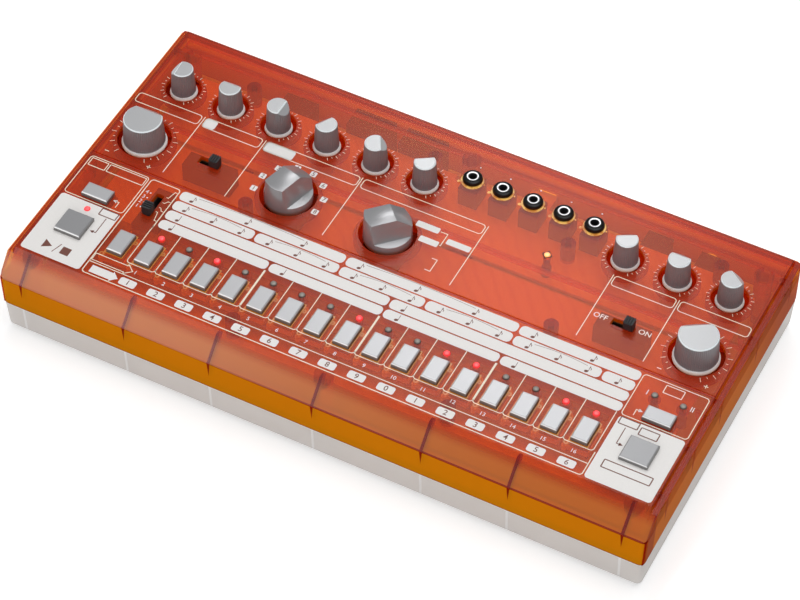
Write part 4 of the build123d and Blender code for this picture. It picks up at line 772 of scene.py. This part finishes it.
# ------------------------------------------------------------------ patch jacks
# Five small sockets come up through the deck. A black ring nut holds each one down, and the plated rim of its
# throat stands just above the nut. Amber rings and dots round each nut are painted highlights of light glinting in
# the deck.
JACK_U = 156.1
JACK_V = 125.7
JACK_PITCH = 14.67
NUT = [(3.05, DECK), (4.3, DECK), (4.45, 43.75), (4.45, 44.7), (4.2, 45.3), (3.7, 45.65), (3.25, 45.7), (3.05, 45.5)]
THROAT = [(1.95, 45.84), (2.55, 45.84), (2.65, 45.95), (2.55, 46.03), (2.2, 46.03), (1.95, 45.93)]
GLINT_LOW = DECK + 0.02
CAUSTIC_RING = [(3.3, GLINT_LOW), (5.2, GLINT_LOW), (5.1, DECK + 0.22), (3.4, DECK + 0.22)]
nuts = bmesh.new()
throats = bmesh.new()
caustic_rings = bmesh.new()
for i in range(5):
    x, y = spot(JACK_U + JACK_PITCH * i, JACK_V)
    ring_of(NUT, 40, nuts, (x, y))
    ring_of(THROAT, 40, throats, (x, y))
    ring_of(CAUSTIC_RING, 40, caustic_rings, (x + 0.15, y - 0.55))
    turned([(0.8, GLINT_LOW), (0.75, DECK + 0.2)], 12, form=caustic_rings, at=(x - 4.9, y - 3.6))
    turned([(0.4, GLINT_LOW), (0.35, DECK + 0.2)], 10, form=caustic_rings, at=(x + 5.9, y - 0.6))
black_nut = Finish("blackened ring nut")
black_nut_paint = black_nut.done(black_nut.body(
    Base_Color=(0.004, 0.004, 0.004, 1.0), Roughness=0.28, IOR=1.33))
plated = Finish("nickel plate")
plate = plated.done(plated.body(Base_Color=(0.92, 0.92, 0.93, 1.0), Metallic=0.45, Roughness=0.3))
caustic = Finish("amber washers")
caustic_cloud = caustic.between(caustic.noise(420.0, 3.0), 0.4, 0.6)
caustic_amber = caustic.done(caustic.body(
    Base_Color=caustic.blend(caustic_cloud, (0.62, 0.20, 0.02, 1.0), (0.95, 0.55, 0.12, 1.0)), Roughness=0.3))
as_piece(caustic_rings, "jack_washers", caustic_amber, "case_orange", "case")
as_piece(nuts, "ring_nuts", black_nut_paint, "nut_black", "case", "patch_jack_nuts")
as_piece(throats, "plated_throats", plate, "steel", "case")


# ------------------------------------------------------------------ tick marks
# Rings of 25 short and long ticks are printed round each ribbed knob, in the same cream ink as the lines of
# the panel. They sweep the 300 degrees that the knob turns, and leave its foot open.
ticks = Pattern("tick ring", Count="Int", Inner="Float", Long="Float", Short="Float", Width="Float",
                Sweep="Float", Finish="Material")
number = ticks.add("GeometryNodeInputIndex")
odd = number % 2.0
length = ticks.size("Long") - odd * (ticks.size("Long") - ticks.size("Short"))
angle = number * (ticks.size("Sweep") / (ticks.size("Count") - 1.0)) - ticks.size("Sweep") * 0.5
middle = ticks.size("Inner") + length * 0.5
around = ticks.vector(middle * ticks.maths("SINE", angle), middle * ticks.maths("COSINE", angle), 0.0)
marks = ticks.add("GeometryNodePoints", None, {"Count": ticks.size("Count"), "Position": around})
INK = 0.02
bar = ticks.add("GeometryNodeMeshCube", None, {"Size": (1.0, 1.0, INK)})
ticks.close(ticks.add("GeometryNodeInstanceOnPoints", None, {
    "Points": marks, "Instance": bar, "Rotation": ticks.vector(0.0, 0.0, angle * -1.0),
    "Scale": ticks.vector(ticks.size("Width"), length, 1.0)}))

INK_GRAIN = 1800.0
cream_ink = mottled("cream print", INK_GRAIN, (0.84, 0.77, 0.60, 1.0), (0.90, 0.83, 0.66, 1.0), 0.45)
tick_form = bmesh.new()
for spots, inner, long_tick, short_tick in ((small_spots, 8.9, 1.5, 0.7), (large_spots, 13.0, 2.3, 1.0)):
    for u, v, _ in spots.values():
        mesh = ticks.grow(Count=25, Inner=inner, Long=long_tick, Short=short_tick, Width=0.22,
                          Sweep=math.radians(300.0), Finish=cream_ink)
        mesh.transform(Matrix.Translation((*spot(u, v), DECK + INK / 2)))
        tick_form.from_mesh(mesh)
        bpy.data.meshes.remove(mesh)
as_piece(tick_form, "tick_marks", cream_ink, "case_orange", "case")


# ------------------------------------------------------------------ printed panel
# The rest of the deck is screen printed: cream lines and frames, white bars, tabs and plates, and a last
# pass of dark figures over the white. Each ink is a film two hundredths of a millimetre thick.
TYPE_SIZE = 1.42


class Print:
    """One pass of print: thin shapes that lie on the deck, in millimetres of deck position."""

    def __init__(self, low):
        self.form = bmesh.new()
        self.low = low

    def wall(self, low, high):
        for i in range(len(low)):
            j = (i + 1) % len(low)
            self.form.faces.new((low[i], low[j], high[j], high[i]))

    def ring(self, loop, z):
        return [self.form.verts.new((*spot(u, v), z)) for u, v in loop]

    def patch(self, loop):
        low, high = self.ring(loop, self.low), self.ring(loop, self.low + INK)
        self.wall(low, high)
        self.form.faces.new(list(reversed(low)))
        self.form.faces.new(high)

    def band(self, outer, inner):
        out_low, out_high = self.ring(outer, self.low), self.ring(outer, self.low + INK)
        in_low, in_high = self.ring(inner, self.low), self.ring(inner, self.low + INK)
        self.wall(out_low, out_high)
        self.wall(in_high, in_low)
        self.wall(out_high, in_high)
        self.wall(in_low, out_low)

    def frame(self, u0, v0, u1, v1, r, width=0.4):
        h = width / 2
        self.band(rounded(u0 - h, v0 - h, u1 + h, v1 + h, r + h), rounded(u0 + h, v0 + h, u1 - h, v1 - h, r - h))

    def line(self, points, width=0.4):
        left, right = [], []
        for i, here in enumerate(points):
            before = Vector(points[max(i - 1, 0)])
            after = Vector(points[min(i + 1, len(points) - 1)])
            here = Vector(here)
            steps_in = [step.normalized() for step in (here - before, after - here) if step.length > 0]
            along = sum(steps_in, Vector((0, 0))).normalized()
            side = Vector((-along.y, along.x)) * width / 2 / max(along.dot(steps_in[0]), 0.5)
            left.append(here + side)
            right.append(here - side)
        self.patch(right + left[::-1])

    def words(self, text, u, v, height):
        """Plain characters of a given height, centred on a place."""
        curve = bpy.data.curves.new(text, "FONT")
        curve.body = text
        curve.align_x = "CENTER"
        curve.align_y = "CENTER"
        curve.size = height * TYPE_SIZE
        curve.offset = 0.01 * height
        curve.extrude = INK / 2
        curve.resolution_u = 3
        source = bpy.data.objects.new(text, curve)
        mesh = bpy.data.meshes.new_from_object(source)
        mesh.transform(Matrix.Translation((*spot(u, v), self.low + INK / 2)))
        self.form.from_mesh(mesh)
        bpy.data.objects.remove(source)
        bpy.data.curves.remove(curve)
        bpy.data.meshes.remove(mesh)

    def dry(self, name, finish):
        as_piece(self.form, name, finish, "case_orange", "case")


def bend(u, v, r, start, end, pieces=5):
    """Points of an arc between two angles in degrees."""
    angles = [math.radians(start + (end - start) * i / pieces) for i in range(pieces + 1)]
    return [(u + r * math.cos(a), v + r * math.sin(a)) for a in angles]


def rounded(u0, v0, u1, v1, r):
    """Rounded rectangle, counterclockwise from its lower right corner."""
    return (bend(u1 - r, v0 + r, r, -90, 0, 4) + bend(u1 - r, v1 - r, r, 0, 90, 4)
            + bend(u0 + r, v1 - r, r, 90, 180, 4) + bend(u0 + r, v0 + r, r, 180, 270, 4))


print_white = Print(DECK)
print_lines = Print(DECK)
print_dark = Print(DECK + INK)
PANEL_R = 1.5

# Label boxes and dividers of the upper half.
LABEL_LOW = 98.6
LABEL_HIGH = 104.3
for u0, u1 in ((0.6, 32.8), (35.0, 63.6), (65.9, 112.3), (114.5, 173.4), (234.8, 263.4), (265.5, 297.8)):
    print_lines.frame(u0, LABEL_LOW, u1, LABEL_HIGH, PANEL_R)
for u0, u1 in ((35.0, 41.0), (65.9, 80.4)):
    print_white.patch(rounded(u0, LABEL_LOW, u1, LABEL_HIGH, PANEL_R))
for u in (34.0, 64.9, 113.2, 174.5, 233.8, 264.5):
    print_lines.line([(u, 66.7), (u, 104.4)])

# Figures round the instrument selector, and the tabs and leads of the mode selector.
FIGURE_R = 15.7
for i in range(8):
    angle = math.radians(195.0 - 30.0 * i)
    u = selector_spots["instrument"][0] + FIGURE_R * math.cos(angle)
    v = 81.0 + FIGURE_R * math.sin(angle)
    print_white.patch(rounded(u - 1.5, v - 1.5, u + 1.5, v + 1.5, 0.5))
    print_dark.words(str(i + 1), u, v, 2.2)
for tab in ((146.0, 90.3, 157.0, 93.6), (150.9, 83.1, 159.9, 86.4), (162.3, 86.8, 173.6, 90.0)):
    print_white.patch(rounded(*tab, 0.6))
print_lines.line([(157.6, 92.0), (161.0, 92.0), (161.0, 84.8), (160.4, 84.8)])
print_lines.line([(161.0, 76.8), (163.6, 76.8), (163.6, 69.8), (161.0, 69.8)])

# Keys: one cell each, with a figure under it and a numbered tab.
CELL_FOOT = 14.5
CELL_TOP = 37.7
TAB_LOW = 2.4
TAB_HIGH = 6.4
for i in range(16):
    u0, u1 = FIRST_CELL + CELL * i, FIRST_CELL + CELL * (i + 1)
    print_lines.line(bend(u0 + PANEL_R, CELL_FOOT + PANEL_R, PANEL_R, 180, 270)
                     + bend(u1 - PANEL_R, CELL_FOOT + PANEL_R, PANEL_R, 270, 360))
    print_lines.line([(u0, CELL_TOP), (u0, CELL_FOOT + PANEL_R)], 0.9 if i in (4, 8, 12) else 0.4)
    middle = u0 + CELL / 2 - 0.15
    print_white.words(str(i + 1), middle, 10.9, 1.95)
    print_white.patch(rounded(middle - 3.95, TAB_LOW, middle + 3.95, TAB_HIGH, 1.0))
    print_dark.words(str((i + 1) % 10), middle, 4.4, 2.7)
print_lines.line([(ROW_END, CELL_FOOT)] + bend(265.5, 2.7, PANEL_R, 0, -90) + bend(33.6, 2.7, PANEL_R, 270, 180)
                 + [(32.1, 36.0)] + bend(33.6, 59.5, PANEL_R, 180, 90) + bend(45.0, 59.5, PANEL_R, 90, 0)
                 + [(46.5, 36.0)], 0.45)
print_lines.line([(32.1, 7.8), (ROW_END, 7.8)])
print_lines.line([(32.6, 8.9), (32.6, 12.8), (48.4, 12.8), (48.4, 13.7), (51.8, 10.85), (48.4, 8.0), (48.4, 8.9),
                  (32.6, 8.9)], 0.38)
print_white.patch([(34.9, TAB_LOW), (45.0, TAB_LOW), (45.0, 1.6), (48.2, 4.4), (45.0, 7.2), (45.0, TAB_HIGH),
                   (34.9, TAB_HIGH)])
print_lines.line([(FIRST_CELL + CELL * 16, CELL_TOP), (FIRST_CELL + CELL * 16, CELL_FOOT + PANEL_R)])

# Four rows of bars give the note lengths: heights of each row, and the ends of its bars.
BARS = ((56.0, 61.4, (47.7, 129.0, 211.25, ROW_END)),
        (49.8, 55.3, (47.7, 87.85, 129.0, 170.1, 211.25, 252.3, ROW_END)),
        (43.6, 49.1, (47.7, 156.45, ROW_END)),
        (37.8, 42.9, (47.7, 101.55, 156.45, 211.25, ROW_END)))
BAR_GAP = 0.45
for v0, v1, ends in BARS:
    for i, (u0, u1) in enumerate(zip(ends, ends[1:])):
        left = u0 if i == 0 else u0 + BAR_GAP
        right = u1 if i == len(ends) - 2 else u1 - BAR_GAP
        print_white.patch(rounded(left, v0, right, v1, 2.0))


def note(u, v, tail):
    """Note with a slanting head, a stem and, for the short ones, a tail."""
    head = [(u + 0.85 * math.cos(a) - 0.25 * math.sin(a), v + 0.3 * math.cos(a) + 0.6 * math.sin(a))
            for a in [2 * math.pi * i / 14 for i in range(14)]]
    stem = u + 0.75
    print_dark.patch(head)
    print_dark.line([(stem, v + 0.2), (stem, v + 3.1)], 0.22)
    if tail:
        print_dark.line([(stem, v + 3.1), (u + 1.0, v + 2.4), (u + 1.6, v + 1.9), (u + 1.5, v + 1.2)], 0.26)


# Notes stand in the bars, and a slur joins each three of the short ones.
FIRST_NOTE = 53.7
NOTES = (([FIRST_NOTE + 27.41 * i for i in range(8)], True), ([FIRST_NOTE + CELL * i for i in range(16)], True),
         ((FIRST_NOTE, 163.3), False), ((FIRST_NOTE, 108.5, 163.3, 218.0), False))
for (low, _, _), (places, tail) in zip(BARS, NOTES):
    for u in places:
        note(u, low + 1.3, tail)
    for i in range(0, len(places) - 2 if tail else 0, 3):
        u0, u1 = places[i] + 2.4, places[i + 2] - 0.6
        slur = [(u0 + (u1 - u0) * k / 8, low + 4.2 + 0.9 * math.sin(math.pi * k / 8)) for k in range(9)]
        print_dark.line(slur, 0.16)

# Scale switch: four figures, their marks and the leads to the four rows of bars.
for figure, v in ((4, 53.5), (3, 50.5), (2, 47.6), (1, 44.6)):
    print_white.words(str(figure), 33.9, v, 2.0)
    print_white.patch(rounded(35.3, v - 0.35, 36.0, v + 0.35, 0.2))
for v0, v1 in ((54.4, 58.7), (51.0, 52.6), (48.0, 46.4), (45.2, 40.4)):
    print_lines.line([(43.0, v0), (44.0, v0), (45.0, v1), (46.1, v1)], 0.3)

# Side panels: a framed group of lamps over a white plate with a large square key, with empty label boxes.
for u0, u1, plate_u0, plate_u1 in ((1.4, 30.8, 1.3, 30.8), (267.9, 297.5, 267.9, 297.6)):
    print_lines.frame(u0, 37.3, u1, 61.0, PANEL_R)
    print_white.patch(rounded(plate_u0, 1.1, plate_u1, 36.3, PANEL_R))
for box in ((2.5, 55.6, 10.7, 60.0), (11.7, 55.6, 29.9, 60.0), (278.6, 55.5, 286.9, 59.8)):
    print_lines.frame(*box, 0.3)
for box in ((21.9, 32.4, 30.0, 36.2), (268.9, 32.6, 277.3, 36.2), (278.6, 30.8, 286.8, 34.7),
            (272.0, 8.9, 293.5, 13.1)):
    print_dark.frame(*box, 0.3, 0.5)


def lead(lines, heads, u, v0, v1, way):
    """Line that turns a corner and ends in an arrow head, to the left or to the right."""
    lines.line([(u, v0), (u, v1), (u + way * 1.7, v1)])
    heads.patch([(u + way * 2.9, v1), (u + way * 1.1, v1 - 0.9), (u + way * 1.1, v1 + 0.9)])


for u, way in ((26.3, -1), (272.7, 1)):
    lead(print_dark, print_dark, u, 31.6, 22.6, way)
    lead(print_lines, print_white, u, 39.0, 42.3, way)
print_dark.patch([(9.6, 5.0), (13.8, 7.4), (9.6, 9.8)])
print_dark.line([(15.2, 4.6), (17.0, 10.2)])
print_dark.patch(rounded(18.4, 5.3, 22.6, 9.5, 0.2))

# Signs at the ends of the two large dials, words at the ends of the slides and lamps, and dots over the jacks.
for u, v, _ in large_spots.values():
    for u0, v0, u1, v1 in ((-11.6, -14.4, -9.6, -14.4), (9.6, -14.4, 11.6, -14.4), (10.6, -15.4, 10.6, -13.4)):
        print_lines.line([(u + u0, v + v0), (u + u1, v + v1)])
for text, u, v in (("I", 272.9, 52.6), ("II", 293.1, 52.6), ("OFF", 238.5, 80.8), ("ON", 259.0, 80.8)):
    print_white.words(text, u, v, 2.6)
for i in range(5):
    print_white.patch(bend(JACK_U + JACK_PITCH * i, 133.7, 0.35, 0, 330, 11))

brown = Finish("dark print")
dark_ink = brown.done(brown.body(Base_Color=(0.16, 0.045, 0.028, 1.0), Roughness=0.5))
white_ink = mottled("white print", INK_GRAIN, (0.78, 0.76, 0.74, 1.0), (0.84, 0.82, 0.80, 1.0), 0.45)
print_white.dry("white_print", white_ink)
print_lines.dry("cream_lines", cream_ink)
print_dark.dry("dark_print", dark_ink)


# ------------------------------------------------------------------ room
# The machine lies on a glossy white table among four soft boxes, in a plain pale room. It is seen from
# above its front right corner.
table = Finish("white table")
seen = [table.add("ShaderNodeLightPath", None, None, f"Is {kind} Ray")
        for kind in ("Camera", "Glossy", "Transmission")]
lift = table.blend(seen[0] + seen[1] + seen[2], (0.0, 0.0, 0.0, 1.0), (0.42, 0.42, 0.42, 1.0))
mesh = bpy.data.meshes.new("floor")
mesh.from_pydata([(-6, -6, 0), (6, -6, 0), (6, 6, 0), (-6, 6, 0)], [], [(0, 1, 2, 3)])
floor = bpy.data.objects.new("floor", mesh)
bpy.context.scene.collection.objects.link(floor)
mesh.materials.append(table.done(table.body(
    Base_Color=(0.82, 0.82, 0.82, 1.0), Roughness=0.12, IOR=1.7, Emission_Color=lift, Emission_Strength=1.0)))


def soft_box(name, place, width, height, power):
    """Rectangular lamp that looks at the middle of the machine's footprint."""
    lamp = bpy.data.lights.new(name, "AREA")
    lamp.shape = "RECTANGLE"
    lamp.size = width
    lamp.size_y = height
    lamp.energy = power
    box = bpy.data.objects.new(name, lamp)
    box.matrix_world = Matrix.Translation(place) @ Vector(place).to_track_quat("Z", "Y").to_matrix().to_4x4()
    bpy.context.scene.collection.objects.link(box)


soft_box("top box", (0.1, 0.25, 1.7), 1.6, 1.2, 15.8)
soft_box("front box", (-0.84, -1.50, 0.95), 0.46, 0.26, 2.8)
soft_box("fill box", (0.75, -2.2, 0.75), 1.3, 1.0, 11.5)
soft_box("rear box", (-0.43, 1.07, 1.30), 0.34, 0.20, 2.0)

world = bpy.data.worlds.new("studio")
world.use_nodes = True
world.node_tree.nodes.clear()
sky = Nodes(world.node_tree)
sky.add("ShaderNodeOutputWorld", None, {
    "Surface": sky.add("ShaderNodeBackground", None, {"Color": (1.0, 1.0, 1.0, 1.0), "Strength": 0.35})})
bpy.context.scene.world = world
bpy.context.scene.view_settings.view_transform = "Standard"

lens_data = bpy.data.cameras.new("camera")
lens_data.lens = 137.0
lens_data.sensor_width = 36.0
camera = bpy.data.objects.new("camera", lens_data)
right = Vector((0.88786, 0.46007, 0.00565))
up = Vector((-0.35348, 0.67420, 0.64846))
forward = Vector((-0.29453, 0.57774, -0.76123))
turn = Matrix((right, up, -forward)).transposed().to_4x4()
camera.matrix_world = Matrix.Translation((0.38878, -0.76490, 1.02194)) @ turn
bpy.context.scene.collection.objects.link(camera)
bpy.context.scene.camera = camera
